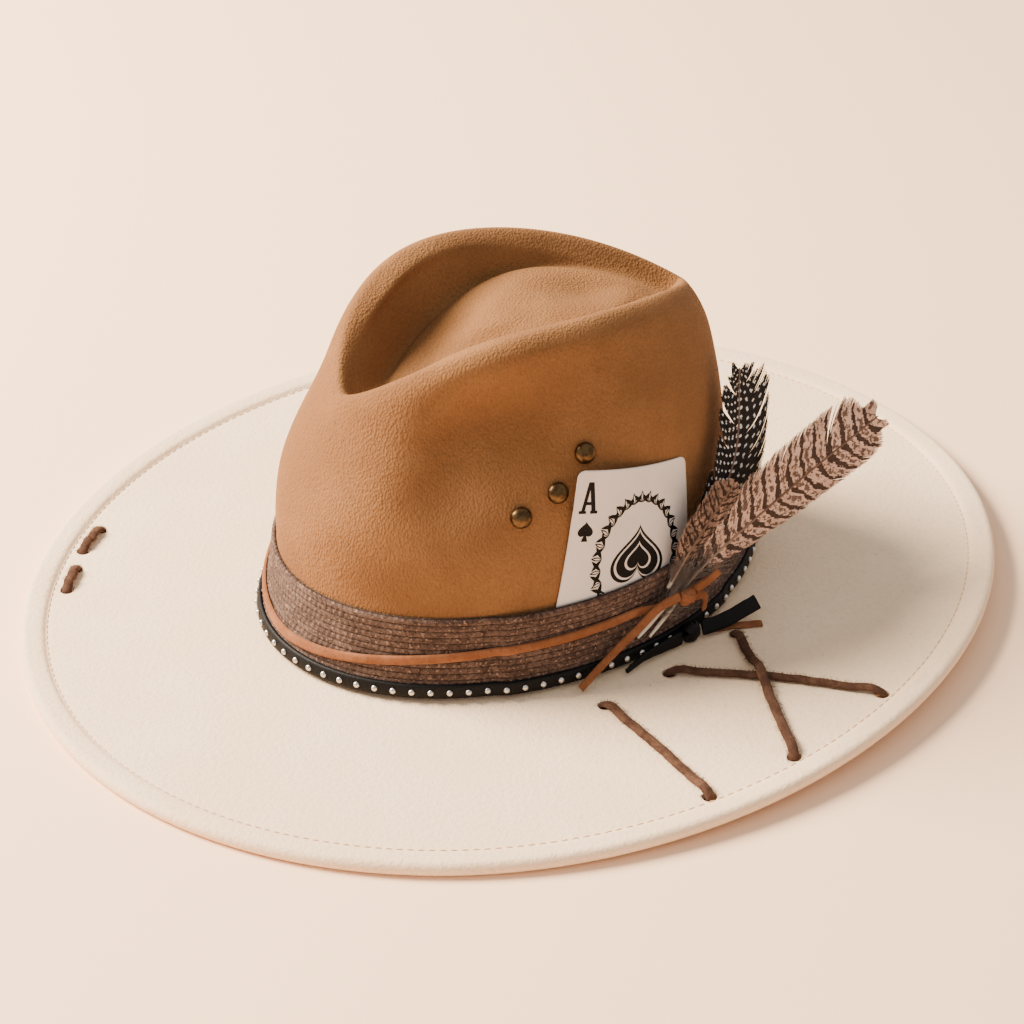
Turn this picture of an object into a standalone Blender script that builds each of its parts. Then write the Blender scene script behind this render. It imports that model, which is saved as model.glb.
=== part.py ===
"""Flat brim fedora at its real size, in metres, with +Z up.

The hat lies on its brim. Its front faces -Y, and the side with the card and the feathers is +X.
The origin is the middle of the brim's outline, on the surface that the hat lies on.
"""

import math
from collections import namedtuple

import bmesh
import bpy
import numpy as np
from mathutils import Matrix, Vector

# Driving dimensions of the head opening and the crown
HEAD_HALF_WIDTH = 0.0740
HEAD_HALF_LENGTH = 0.1025
CROWN_CENTRE_Y = -0.0024
CROWN_RIDGE_HEIGHT = 0.1350
CROWN_FELT = 0.0024
SEWING_GAP = 0.0003

# Driving dimensions of the brim
BRIM_HALF_WIDTH = 0.1805
BRIM_HALF_LENGTH = 0.2076
BRIM_FELT = 0.0024
BRIM_CLEARANCE = 0.0018
COLLAR_HEIGHT = 0.0080
COLLAR_LEAN = 0.0020
FOLD_WIDTH = 0.0102
FOLD_HEIGHT = 0.0060
FOLD_CORNER = 0.0022
BRIM_LIFT = 0.0067
BRIM_LIFT_ANGLE = math.radians(32)
BRIM_LIFT_SPREAD = 0.30

# Driving dimensions of the knitted band, with heights above the crown's hem
BAND_THICKNESS = 0.0018
BAND_BOTTOM = 0.0004
BAND_TOP = 0.0335

# Driving dimensions of the suede cord, with heights above the crown's hem
CORD_WIDTH = 0.0035
CORD_THICKNESS = 0.0012
CORD_FRONT_HEIGHT = 0.0096
CORD_SIDE_HEIGHT = 0.0217
CORD_CLIMB = 1.2
SUEDE_KNOT_SIZE = (0.0042, 0.0074, 0.0066)

# Driving dimensions of the studded strap, with heights above the crown's hem
STRAP_WIDTH = 0.0070
STRAP_THICKNESS = 0.0014
STRAP_BOTTOM = 0.0007
STRAP_KNOT_ANGLE = math.radians(104)
STRAP_KNOT_SIZE = (0.0046, 0.0080, 0.0078)
DOME_RADIUS = 0.0015
DOME_RISE = 0.0011
DOME_SINK = 0.0005
DOME_SPACING = 0.0073

# Driving dimensions of the card and of its room behind the band
CARD_WIDTH = 0.0630
CARD_LENGTH = 0.0740
CARD_CORNER = 0.0035
CARD_THICKNESS = 0.00035
CARD_ANGLE = math.radians(88.3)
CARD_BOTTOM = 0.0006
CARD_LEAN = math.radians(14.7)
CARD_ROOM_FROM = math.radians(62)
CARD_ROOM_TO = math.radians(118)

# Driving dimensions of the brass studs
STUD_RADIUS = 0.00415
STUD_RISE = 0.0029
STUD_POST_RADIUS = 0.0010
STUD_HOLE_RADIUS = 0.0014
STUD_CAP_RADIUS = 0.0024
STUD_CAP_THICKNESS = 0.0008

# Driving dimensions of the feathers and of their place under the cord
QUILL_RADIUS = 0.0010
QUILL_ANGLE = math.radians(105)
QUILL_ROOM = math.radians(11)
VANE_THICKNESS = 0.0006

# Driving dimensions of the laces through the brim
LACE_WIDTH = 0.0036
LACE_THICKNESS = 0.0024
LACE_HOLE_RADIUS = 0.0028
LACE_ARCH = 0.0007
LACE_ARCH_LENGTH = 0.0045
LACE_TURN = 0.0038
LACE_STEP = 0.0080
LACE_HUMP_LENGTH = 0.0075
LACE_INSET = 0.0008

# How many straight stretches every ring round the hat is drawn with, so that their faces lie parallel
CROWN_SIDES = 44

# Sizes that follow from the driving ones
COLLAR_HALF_WIDTH = HEAD_HALF_WIDTH + BRIM_FELT
COLLAR_HALF_LENGTH = HEAD_HALF_LENGTH + BRIM_FELT
CROWN_HALF_WIDTH = COLLAR_HALF_WIDTH + SEWING_GAP + CROWN_FELT
CROWN_HALF_LENGTH = COLLAR_HALF_LENGTH + SEWING_GAP + CROWN_FELT
BRIM_TOP = BRIM_CLEARANCE + BRIM_FELT
CROWN_BASE = BRIM_TOP + 2 * SEWING_GAP
CARD_ROOM = CARD_THICKNESS + 3 * SEWING_GAP
QUILL_LIFT = 2 * QUILL_RADIUS + 3 * SEWING_GAP

# Heights at five places from the front round to the back, as shares of the ridge height
Heights = namedtuple("Heights", "front front_quarter side back_quarter back")
RIDGE = Heights(0.796, 0.931, 0.990, 0.889, 0.795)
GROOVE = Heights(0.750, 0.775, 0.850, 0.855, 0.825)
DOME = Heights(0.785, 0.815, 0.880, 0.882, 0.852)
DOME_TOP = Heights(0.874, 0.882, 0.893, 0.895, 0.893)

# The crown's sections from the hem to the middle of the dome. Half widths are shares of the crown's
# half width, and the reaches to front and back are shares of its half length. Pinch narrows the ends
# of a section and skew moves its widest place forward. Rise is a share of the heights named in level,
# and rows is how many rows of faces lead to the next section.
Section = namedtuple("Section", "level rise half_width front back pinch skew rows")
SECTIONS = (
    Section(RIDGE, 0.00, 1.000, 1.000, 1.000, 1.00, 0.00, 1),
    Section(RIDGE, 0.03, 1.000, 0.998, 0.998, 1.00, 0.00, 1),
    Section(RIDGE, 0.14, 0.975, 0.965, 0.960, 1.00, 0.00, 1),
    Section(RIDGE, 0.28, 0.948, 0.940, 0.910, 1.00, 0.00, 1),
    Section(RIDGE, 0.42, 0.921, 0.938, 0.875, 1.00, 0.00, 1),
    Section(RIDGE, 0.58, 0.880, 0.915, 0.860, 1.00, 0.00, 1),
    Section(RIDGE, 0.74, 0.811, 0.845, 0.842, 1.00, 0.02, 2),
    Section(RIDGE, 0.89, 0.690, 0.780, 0.835, 1.16, 0.05, 2),
    Section(RIDGE, 0.975, 0.620, 0.740, 0.800, 1.36, 0.10, 1),
    Section(RIDGE, 1.000, 0.540, 0.710, 0.773, 1.45, 0.13, 2),
    Section(RIDGE, 0.965, 0.450, 0.655, 0.715, 1.50, 0.13, 2),
    Section(GROOVE, 1.000, 0.375, 0.545, 0.560, 1.35, -0.15, 1),
    Section(GROOVE, 1.018, 0.335, 0.490, 0.500, 1.30, -0.15, 1),
    Section(DOME, 1.000, 0.220, 0.320, 0.340, 1.15, -0.10, 1),
    Section(DOME_TOP, 1.000, 0.080, 0.120, 0.140, 1.00, 0.00, 1),
)

# The two dents in the sides of the crown, at an angle from the front and a share of the rise
DENT_DEPTH = 0.0155
DENT_ANGLE = math.radians(56)
DENT_RISE = 0.77
DENT_FRONT_SPREAD = math.radians(17)
DENT_BACK_SPREAD = math.radians(30)
DENT_LOWER_SPREAD = 0.20
DENT_UPPER_SPREAD = 0.13

# The brass studs, at an angle from the front and a height above the crown's hem
Stud = namedtuple("Stud", "angle height")
STUDS = (
    Stud(math.radians(84.7), 0.0896),
    Stud(math.radians(77.1), 0.0780),
    Stud(math.radians(67.6), 0.0716),
)

# The feathers: the quill's end and where it passes under the cord, as angles from the front and heights
# above the hem, then the tip's place, how far the axis bows backward and upward, the vane's widest reach
# to each side of the shaft, and how far the vane turns its face upward
Feather = namedtuple(
    "Feather", "name end_angle end_height tie_angle tie_height tip back bow left right face"
)
FEATHERS = (
    Feather("barred_feather", 94.0, 0.0094, 107.5, 0.0238, (0.0800, 0.1202, 0.0730), 0.0, 0.0023, 0.0160, 0.0120, 0.6),
    Feather("spotted_feather", 91.0, 0.0112, 103.0, 0.0235, (0.0500, 0.0720, 0.0970), 0.0125, 0.0035, 0.0125, 0.0130, 0.3),
    Feather("small_feather", 100.5, 0.0262, 102.5, 0.0290, (0.0780, 0.0490, 0.0670), 0.0, 0.0010, 0.0080, 0.0080, 0.2),
)

# Along a feather from the quill's end to the tip: the share of its length, the reach of the vane to the
# left and right as shares of the widest, and the shaft's thickness as a share of the quill's
Vane = namedtuple("Vane", "place left right shaft")
VANES = (
    Vane(0.00, 0.00, 0.00, 0.45),
    Vane(0.03, 0.00, 0.00, 0.80),
    Vane(0.22, 0.00, 0.00, 1.00),
    Vane(0.28, 0.23, 0.00, 0.80),
    Vane(0.34, 0.46, 0.25, 0.65),
    Vane(0.42, 0.62, 0.66, 0.60),
    Vane(0.56, 0.88, 0.92, 0.55),
    Vane(0.72, 1.00, 1.00, 0.50),
    Vane(0.88, 0.94, 1.00, 0.45),
    Vane(0.96, 0.72, 0.80, 0.40),
    Vane(1.00, 0.34, 0.40, 0.35),
)

# The free ends of suede and leather, each a flat strip along a few chosen points
Strip = namedtuple("Strip", "name material width thickness end_width face points")
STRIPS = (
    Strip("suede_tail_1", "suede", 0.0036, 0.0012, 0.0030, (1.0, -0.2, 0.5), (
        (0.0852, 0.0178, 0.0296), (0.0852, 0.0090, 0.0286), (0.0848, -0.0009, 0.0224),
        (0.0850, -0.0154, 0.0142), (0.0868, -0.0306, 0.0066))),
    Strip("suede_tail_2", "suede", 0.0036, 0.0012, 0.0034, (1.0, 0.2, 0.3), (
        (0.0849, 0.0260, 0.0293), (0.0852, 0.0315, 0.0312), (0.0855, 0.0370, 0.0340))),
    Strip("suede_tail_3", "suede", 0.0034, 0.0012, 0.0030, (1.0, 0.3, 0.2), (
        (0.0840, 0.0267, 0.0258), (0.0835, 0.0320, 0.0228), (0.0828, 0.0325, 0.0160))),
    Strip("suede_tail_4", "suede", 0.0040, 0.0012, 0.0040, (0.0, 0.0, 1.0), (
        (0.0838, 0.0350, 0.0054), (0.0870, 0.0440, 0.0054), (0.0925, 0.0549, 0.0055))),
    Strip("strap_tail_1", "leather", 0.0060, 0.0014, 0.0018, (1.0, 0.0, 0.15), (
        (0.0853, 0.0195, 0.0086), (0.0862, 0.0090, 0.0090), (0.0868, 0.0000, 0.0086),
        (0.0880, -0.0094, 0.0064))),
    Strip("strap_tail_2", "leather", 0.0062, 0.0014, 0.0064, (1.0, 0.1, 0.6), (
        (0.0850, 0.0302, 0.0092), (0.0868, 0.0385, 0.0098), (0.0872, 0.0490, 0.0112),
        (0.0868, 0.0565, 0.0122))),
)

# The laces through the brim: both holes at an angle from the +X side and a reach over the brim, how far
# the lace bows sideways, and where and how high it humps over another lace
Lace = namedtuple("Lace", "name from_angle from_reach to_angle to_reach bow hump_place hump")
LACES = (
    Lace("brim_lace_1", -11.5, 0.245, -8.75, 0.875, 0.0010, 0.5, 0.0),
    Lace("brim_lace_2", 3.25, 0.210, 18.25, 0.865, 0.0036, 0.5, 0.0),
    Lace("brim_lace_3", 20.75, 0.220, 2.75, 0.870, 0.0013, 0.37, 0.0030),
    Lace("brim_lace_4", -137.25, 0.840, -132.00, 0.850, 0.0, 0.5, 0.0),
    Lace("brim_lace_5", -127.75, 0.840, -122.75, 0.845, 0.0, 0.5, 0.0),
)


def clear_scene():
    for item in list(bpy.data.objects):
        bpy.data.objects.remove(item, do_unlink=True)


def height_between(heights, angle):
    """Read the five heights at an angle from the front, as an even cosine series."""
    stations = np.radians([0.0, 45.0, 90.0, 135.0, 180.0])
    waves = np.arange(5)
    weights = np.linalg.solve(np.cos(np.outer(stations, waves)), np.array(heights))
    return np.cos(np.outer(angle, waves)) @ weights


def crown_section(section, angle):
    """One closed outline of the crown: its points, with the rise kept as a fourth column."""
    middle = (section.back - section.front) / 2 * CROWN_HALF_LENGTH + CROWN_CENTRE_Y
    reach = (section.back + section.front) / 2 * CROWN_HALF_LENGTH
    width = section.half_width * CROWN_HALF_WIDTH * (1 + section.skew * np.cos(angle))
    across = np.sign(np.sin(angle)) * np.abs(np.sin(angle)) ** section.pinch
    rise = section.rise if section.level is RIDGE else 2.0
    height = section.rise * CROWN_RIDGE_HEIGHT * height_between(section.level, angle)
    return np.stack(
        [width * across, middle - reach * np.cos(angle), CROWN_BASE + height, np.full_like(angle, rise)],
        axis=-1,
    )


def smooth_rows(rows, counts):
    """A curve through whole rows of points, with counts[i] rows drawn from row i to the next."""
    rows = np.asarray(rows, float)
    first = 2 * rows[0] - rows[1]
    last = 2 * rows[-1] - rows[-2]
    padded = np.concatenate([[first], rows, [last]])
    spans = [np.linalg.norm(b[..., :3] - a[..., :3], axis=-1).mean() for a, b in zip(padded, padded[1:])]
    knots = np.concatenate([[0.0], np.cumsum(np.sqrt(np.maximum(spans, 1e-6)))])
    drawn = []
    for index, count in enumerate(counts):
        p0, p1, p2, p3 = padded[index : index + 4]
        k0, k1, k2, k3 = knots[index : index + 4]
        for step in range(count):
            k = k1 + (k2 - k1) * step / count
            a1 = (k1 - k) / (k1 - k0) * p0 + (k - k0) / (k1 - k0) * p1
            a2 = (k2 - k) / (k2 - k1) * p1 + (k - k1) / (k2 - k1) * p2
            a3 = (k3 - k) / (k3 - k2) * p2 + (k - k2) / (k3 - k2) * p3
            b1 = (k2 - k) / (k2 - k0) * a1 + (k - k0) / (k2 - k0) * a2
            b2 = (k3 - k) / (k3 - k1) * a2 + (k - k1) / (k3 - k1) * a3
            drawn.append((k2 - k) / (k2 - k1) * b1 + (k - k1) / (k2 - k1) * b2)
    drawn.append(rows[-1])
    return np.array(drawn)


def crown_grid(sides, fineness=1):
    """Rows of points over the crown's outer face, from the hem to the small ring on the dome."""
    angle = np.arange(sides) * 2 * math.pi / sides
    rings = [crown_section(section, angle) for section in SECTIONS]
    grid = smooth_rows(rings, [section.rows * fineness for section in SECTIONS[:-1]])
    points = grid[..., :3]
    rise = grid[..., 3]
    around = np.roll(points, -1, axis=1) - np.roll(points, 1, axis=1)
    outward = np.stack([around[..., 1], -around[..., 0], np.zeros_like(around[..., 0])], axis=-1)
    outward /= np.linalg.norm(outward, axis=-1, keepdims=True)
    from_front = np.minimum(angle, 2 * math.pi - angle)
    off_angle = from_front - DENT_ANGLE
    off_angle = off_angle / np.where(off_angle < 0, DENT_FRONT_SPREAD, DENT_BACK_SPREAD)
    off_rise = rise - DENT_RISE
    off_rise = off_rise / np.where(off_rise < 0, DENT_LOWER_SPREAD, DENT_UPPER_SPREAD)
    push = DENT_DEPTH * np.exp(-(off_angle**2) - off_rise**2)
    return points - outward * push[..., None]


def new_object(name, mesh, material):
    item = bpy.data.objects.new(name, mesh)
    HAT.objects.link(item)
    item.data.materials.append(material)
    return item


def mesh_from_grid(name, grid, close_top):
    """A surface of quads over rows of points that run round; the last row may close to a pole."""
    rows, sides = grid.shape[:2]
    points = [tuple(p) for p in grid.reshape(-1, 3)]
    faces = []
    for row in range(rows - 1):
        for side in range(sides):
            after = (side + 1) % sides
            low, high = row * sides, (row + 1) * sides
            faces.append((low + side, low + after, high + after, high + side))
    if close_top:
        pole = len(points)
        points.append(tuple(grid[-1].mean(axis=0)))
        last = (rows - 1) * sides
        faces += [(last + side, last + (side + 1) % sides, pole) for side in range(sides)]
    mesh = bpy.data.meshes.new(name)
    mesh.from_pydata(points, [], faces)
    mesh.validate()
    mesh.shade_smooth()
    return mesh


def close_mesh(mesh):
    """Weld points that meet and turn all faces outward."""
    join = bmesh.new()
    join.from_mesh(mesh)
    bmesh.ops.remove_doubles(join, verts=join.verts, dist=0.00001)
    bmesh.ops.recalc_face_normals(join, faces=join.faces)
    join.to_mesh(mesh)
    join.free()
    mesh.shade_smooth()
    mesh.set_sharp_from_angle(angle=math.radians(40))


def closed_ring(name, rings, material):
    """A body between rings of points, the last of which joins the first again."""
    mesh = mesh_from_grid(name, np.array(list(rings) + [rings[0]]), close_top=False)
    close_mesh(mesh)
    return new_object(name, mesh, material)


def make_material(name, colour, roughness, metallic=0.0):
    material = bpy.data.materials.new(name)
    material.use_nodes = True
    shader = material.node_tree.nodes["Principled BSDF"]
    shader.inputs["Base Color"].default_value = (*colour, 1.0)
    shader.inputs["Roughness"].default_value = roughness
    shader.inputs["Metallic"].default_value = metallic
    return material


def make_crown():
    mesh = mesh_from_grid("crown", crown_grid(CROWN_SIDES), close_top=True)
    crown = new_object("crown", mesh, make_material("camel_felt", (0.47, 0.24, 0.09), 0.9))
    wall = crown.modifiers.new("felt", "SOLIDIFY")
    wall.thickness = CROWN_FELT
    wall.offset = -1
    wall.use_even_offset = True
    return crown


def brim_lift(angle, share):
    """How far the brim rises above its flat form at an angle and a share of the way to its edge."""
    facing = (np.cos(angle - BRIM_LIFT_ANGLE) - BRIM_LIFT_SPREAD) / (1 - BRIM_LIFT_SPREAD)
    return BRIM_LIFT * np.clip(facing, 0, None) ** 2 * share**2


def brim_point(angle, reach, height):
    """A point of the brim: reach 0 is the head opening and 1 is the outer edge."""
    head = np.stack([HEAD_HALF_WIDTH * np.cos(angle), HEAD_HALF_LENGTH * np.sin(angle) + CROWN_CENTRE_Y], -1)
    edge = np.stack([BRIM_HALF_WIDTH * np.cos(angle), BRIM_HALF_LENGTH * np.sin(angle)], -1)
    plan = head + (edge - head) * reach
    return np.concatenate([plan, (height + brim_lift(angle, reach))[..., None]], axis=-1)


def make_brim():
    width = BRIM_HALF_WIDTH - HEAD_HALF_WIDTH
    fold = 1 - FOLD_WIDTH / width
    corner = FOLD_CORNER / width
    collar = BRIM_FELT / width
    lean = COLLAR_LEAN / width
    bend = CROWN_BASE + COLLAR_HEIGHT / 3
    top = FOLD_HEIGHT
    profile = (
        (-lean, CROWN_BASE + COLLAR_HEIGHT),
        (0.0, bend),
        (0.0, BRIM_CLEARANCE + 2 * BRIM_FELT / 3),
        (collar / 3, BRIM_CLEARANCE),
        (0.35, BRIM_CLEARANCE),
        (0.65, BRIM_CLEARANCE),
        (fold, BRIM_CLEARANCE),
        (fold + corner, 0.0),
        (1 - corner, 0.0),
        (1 - corner / 4, top * 0.22),
        (1.0, top * 0.50),
        (1 - corner / 4, top * 0.80),
        (1 - corner, top),
        (fold + corner, top * 0.96),
        (fold, BRIM_TOP),
        (0.65, BRIM_TOP),
        (0.35, BRIM_TOP),
        (collar, BRIM_TOP),
        (collar, bend),
        (collar - lean, CROWN_BASE + COLLAR_HEIGHT),
    )
    angle = np.arange(CROWN_SIDES) * 2 * math.pi / CROWN_SIDES
    rings = [brim_point(angle, reach, np.full_like(angle, height)) for reach, height in profile]
    return closed_ring("brim", rings, make_material("cream_felt", (0.82, 0.74, 0.65), 0.9))


# The wall of the crown as it is drawn, up to its ridge, and the angle of each of its columns
WALL_ROWS = 1 + sum(section.rows for section in SECTIONS[: [s.rise for s in SECTIONS].index(1.0)])
WALL = crown_grid(CROWN_SIDES)[:WALL_ROWS]
COLUMN_ANGLES = np.arange(CROWN_SIDES) * 2 * math.pi / CROWN_SIDES


def column_point(column, height):
    """The crown's outer face in one column, at a height above the hem."""
    line = WALL[:, column % CROWN_SIDES]
    level = CROWN_BASE + height
    return np.array([np.interp(level, line[:, 2], line[:, 0]), np.interp(level, line[:, 2], line[:, 1]), level])


def column_outward(column, height):
    """The level direction straight out of the crown in one column."""
    along = column_point(column + 1, height) - column_point(column - 1, height)
    outward = np.array([along[1], -along[0], 0.0])
    return outward / np.linalg.norm(outward)


def wall_outward(angle, height):
    column = angle / (2 * math.pi) * CROWN_SIDES
    first = math.floor(column)
    share = column - first
    return column_outward(first, height) * (1 - share) + column_outward(first + 1, height) * share


def wall_point(angle, height, clearance):
    """A point that stands clear of the crown's drawn wall, at an angle from the front."""
    column = angle / (2 * math.pi) * CROWN_SIDES
    first = math.floor(column)
    share = column - first
    on_wall = column_point(first, height) * (1 - share) + column_point(first + 1, height) * share
    return on_wall + wall_outward(angle, height) * clearance


def band_clearance(angle):
    """How far the band's inner face stands off the crown: more where the card is tucked behind it."""
    return SEWING_GAP + (CARD_ROOM if CARD_ROOM_FROM < angle < CARD_ROOM_TO else 0.0)


def over_band(angle):
    """How far from the crown a piece begins that lies on the band."""
    return band_clearance(angle) + BAND_THICKNESS + SEWING_GAP


def over_quills(angle):
    """How far from the crown the suede cord begins: more where the quills pass under it."""
    near = abs(angle - QUILL_ANGLE) < QUILL_ROOM
    return over_band(angle) + (QUILL_LIFT if near else 0.0)


def cord_height(angle):
    """The middle of the suede cord, low at the front and back and high at the sides."""
    climb = math.hypot(math.sin(angle), 0.1) ** CORD_CLIMB
    return CORD_FRONT_HEIGHT + (CORD_SIDE_HEIGHT - CORD_FRONT_HEIGHT) * climb


def make_wall_ring(name, heights, clearance, thickness, material):
    """A strap round the crown. Heights is a function of the column for each row of the strap."""
    inner = []
    outer = []
    for height in heights:
        columns = list(enumerate(COLUMN_ANGLES))
        inner.append([wall_point(angle, height(column), clearance(angle)) for column, angle in columns])
        outer.append([wall_point(angle, height(column), clearance(angle) + thickness) for column, angle in columns])
    return closed_ring(name, [np.array(ring) for ring in inner + outer[::-1]], material)


def wall_row_height(row):
    """The height above the hem of one of the crown's own rows, as a function of the column."""
    return lambda column: WALL[row, column, 2] - CROWN_BASE


def make_band():
    heights = (lambda column: BAND_BOTTOM, wall_row_height(1), wall_row_height(2), lambda column: BAND_TOP)
    material = make_material("knit", (0.16, 0.10, 0.08), 0.95)
    return make_wall_ring("hat_band", heights, band_clearance, BAND_THICKNESS, material)


def make_cord():
    heights = (
        lambda column: cord_height(COLUMN_ANGLES[column]) - CORD_WIDTH / 2,
        lambda column: cord_height(COLUMN_ANGLES[column]) + CORD_WIDTH / 2,
    )
    return make_wall_ring("suede_cord", heights, over_quills, CORD_THICKNESS, MATERIALS["suede"])


def add_dome(domes, centre, outward):
    """One small dome whose foot is sunk into the strap."""
    along = np.cross(outward, (0.0, 0.0, 1.0))
    up = np.cross(along, outward)
    rings = ((DOME_RADIUS, -DOME_SINK), (DOME_RADIUS * 0.72, DOME_RISE * 0.72))
    sides = 5
    made = []
    for radius, rise in rings:
        for side in range(sides):
            turn = 2 * math.pi * side / sides
            around = along * math.cos(turn) + up * math.sin(turn)
            made.append(domes.verts.new(centre + around * radius + outward * rise))
    top = domes.verts.new(centre + outward * DOME_RISE)
    domes.faces.new(made[:sides])
    for side in range(sides):
        after = (side + 1) % sides
        domes.faces.new((made[side], made[after], made[sides + after], made[sides + side]))
        domes.faces.new((made[sides + side], made[sides + after], top))


def make_strap():
    heights = (lambda column: STRAP_BOTTOM, wall_row_height(1), lambda column: STRAP_BOTTOM + STRAP_WIDTH)
    strap = make_wall_ring("stud_strap", heights, over_band, STRAP_THICKNESS, MATERIALS["leather"])
    fine_angles = np.radians(np.arange(0, 360.5, 0.5))
    line = [
        wall_point(angle, STRAP_BOTTOM + STRAP_WIDTH / 2, over_band(angle) + STRAP_THICKNESS)
        for angle in fine_angles
    ]
    travelled = np.concatenate([[0.0], np.cumsum(np.linalg.norm(np.diff(line, axis=0), axis=1))])
    count = round(travelled[-1] / DOME_SPACING)
    domes = bmesh.new()
    for number in range(count):
        angle = float(np.interp((number + 0.5) * travelled[-1] / count, travelled, fine_angles))
        height = STRAP_BOTTOM + STRAP_WIDTH / 2
        centre = wall_point(angle, height, over_band(angle) + STRAP_THICKNESS)
        knot = wall_point(STRAP_KNOT_ANGLE, height, over_band(angle) + STRAP_THICKNESS)
        if np.linalg.norm(centre - knot) > STRAP_KNOT_SIZE[1] / 2 + DOME_RADIUS + SEWING_GAP:
            add_dome(domes, centre, wall_outward(angle, height))
    bmesh.ops.recalc_face_normals(domes, faces=domes.faces)
    add_boolean(strap, "domes", "UNION", mesh_of(domes, "domes"))
    return strap


def mesh_of(shape, name):
    mesh = bpy.data.meshes.new(name)
    shape.to_mesh(mesh)
    shape.free()
    return mesh


def add_boolean(item, name, operation, mesh):
    """Cut or join with a helper body, kept in its own collection and out of the picture."""
    helper = bpy.data.objects.new(name, mesh)
    HELPERS.objects.link(helper)
    helper.hide_render = True
    helper.display_type = "WIRE"
    step = item.modifiers.new(name, "BOOLEAN")
    step.operation = operation
    step.object = helper


def wall_frame(angle, height, clearance):
    """A place on the wall: its point and the direction out of it."""
    outward = wall_outward(angle, height)
    outward = outward / np.linalg.norm(outward)
    return wall_point(angle, height, clearance), outward


def make_block(name, size, point, outward, material, round_edge):
    """A rounded block whose back is at a point of the wall."""
    block = bmesh.new()
    bmesh.ops.create_cube(block, size=1.0)
    bmesh.ops.scale(block, vec=size, verts=block.verts)
    mesh = mesh_of(block, name)
    item = new_object(name, mesh, material)
    item.location = point + outward * size[0] / 2
    item.rotation_euler = (0.0, 0.0, math.atan2(outward[1], outward[0]))
    edge = item.modifiers.new("round", "BEVEL")
    edge.width = round_edge
    edge.segments = 2
    mesh.shade_smooth()
    return item


def make_knots():
    suede_height = cord_height(QUILL_ANGLE) + CORD_WIDTH / 3
    clearance = over_quills(QUILL_ANGLE) + CORD_THICKNESS + SEWING_GAP
    point, outward = wall_frame(QUILL_ANGLE - QUILL_ROOM / 6, suede_height, clearance)
    make_block("suede_knot", SUEDE_KNOT_SIZE, point, outward, MATERIALS["suede"], 0.0016)
    strap_height = STRAP_BOTTOM + STRAP_KNOT_SIZE[2] / 2 - SEWING_GAP
    clearance = over_band(STRAP_KNOT_ANGLE) + STRAP_THICKNESS + 2 * SEWING_GAP
    point, outward = wall_frame(STRAP_KNOT_ANGLE, strap_height, clearance)
    make_block("strap_knot", STRAP_KNOT_SIZE, point, outward, MATERIALS["leather"], 0.0014)


def smooth_path(points, steps):
    """Points along a smooth curve through the given ones."""
    rows = np.asarray(points, float)[:, None, :]
    return smooth_rows(rows, [steps] * (len(points) - 1))[:, 0]


def path_frames(path, face):
    """At each point of a path: its direction, the side direction and the way its face looks."""
    path = np.asarray(path)
    ahead = np.gradient(path, axis=0)
    ahead /= np.linalg.norm(ahead, axis=1)[:, None]
    side = np.cross(ahead, face)
    side /= np.linalg.norm(side, axis=1)[:, None]
    return ahead, side, np.cross(side, ahead)


def make_sweep(name, sections, material):
    """A closed body through sections that have the same number of points, with flat ends."""
    sides = len(sections[0])
    points = [tuple(point) for section in sections for point in section]
    faces = [tuple(range(sides)), tuple(range(len(points) - sides, len(points)))]
    for row in range(len(sections) - 1):
        for side in range(sides):
            after = (side + 1) % sides
            low, high = row * sides, (row + 1) * sides
            faces.append((low + side, low + after, high + after, high + side))
    mesh = bpy.data.meshes.new(name)
    mesh.from_pydata(points, [], faces)
    close_mesh(mesh)
    return new_object(name, mesh, material)


def make_strip(strip):
    path = smooth_path(strip.points, 3)
    _, side, up = path_frames(path, strip.face)
    widths = np.linspace(strip.width, strip.end_width, len(path)) / 2
    sections = []
    for point, across, out, half in zip(path, side, up, widths):
        thick = out * strip.thickness / 2
        sections.append([point - across * half - thick, point + across * half - thick,
                         point + across * half + thick, point - across * half + thick])
    return make_sweep(strip.name, sections, MATERIALS[strip.material])


def make_feather(feather, colour):
    quill = SEWING_GAP + QUILL_RADIUS
    places = []
    for share in (0.0, 0.5, 1.0):
        angle = math.radians(feather.end_angle + (feather.tie_angle - feather.end_angle) * share)
        height = feather.end_height + (feather.tie_height - feather.end_height) * share
        places.append(wall_point(angle, height, over_band(angle) + quill))
    tip = np.array(feather.tip)
    middle = (places[-1] + tip) / 2 + np.array([0.0, feather.back, feather.bow])
    path = smooth_path(places + [middle, tip], 8)
    travelled = np.concatenate([[0.0], np.cumsum(np.linalg.norm(np.diff(path, axis=0), axis=1))])
    start = np.linalg.norm(places[-1] - places[0]) / travelled[-1]
    outward = wall_outward(math.radians(feather.tie_angle), feather.tie_height)
    # the vane's places are spread over the stretch beyond the tie, and the bare quill keeps its length
    shares = []
    bare = VANES[2].place
    for vane in VANES:
        if vane.place <= bare:
            shares.append(vane.place / bare * start)
        else:
            shares.append(start + (vane.place - bare) / (1 - bare) * (1 - start))
    at = np.array(shares) * travelled[-1]
    points = np.stack([np.interp(at, travelled, path[:, axis]) for axis in range(3)], axis=-1)
    faces = outward + np.outer(np.clip((np.array(shares) - start) / (1 - start), 0, 1), (0, 0, feather.face))
    _, side, up = path_frames(points, faces)
    sections = []
    for vane, point, across, out in zip(VANES, points, side, up):
        radius = QUILL_RADIUS * vane.shaft
        edge = min(VANE_THICKNESS / 2, radius / 2)
        left = max(radius, vane.left * feather.left)
        right = max(radius, vane.right * feather.right)
        outline = ((-left, edge), (-radius / 2, radius), (radius / 2, radius), (right, edge),
                   (right, -edge), (radius / 2, -radius), (-radius / 2, -radius), (-left, -edge))
        sections.append([point + across * x + out * z for x, z in outline])
    return make_sweep(feather.name, sections, make_material(feather.name, colour, 0.8))


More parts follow.
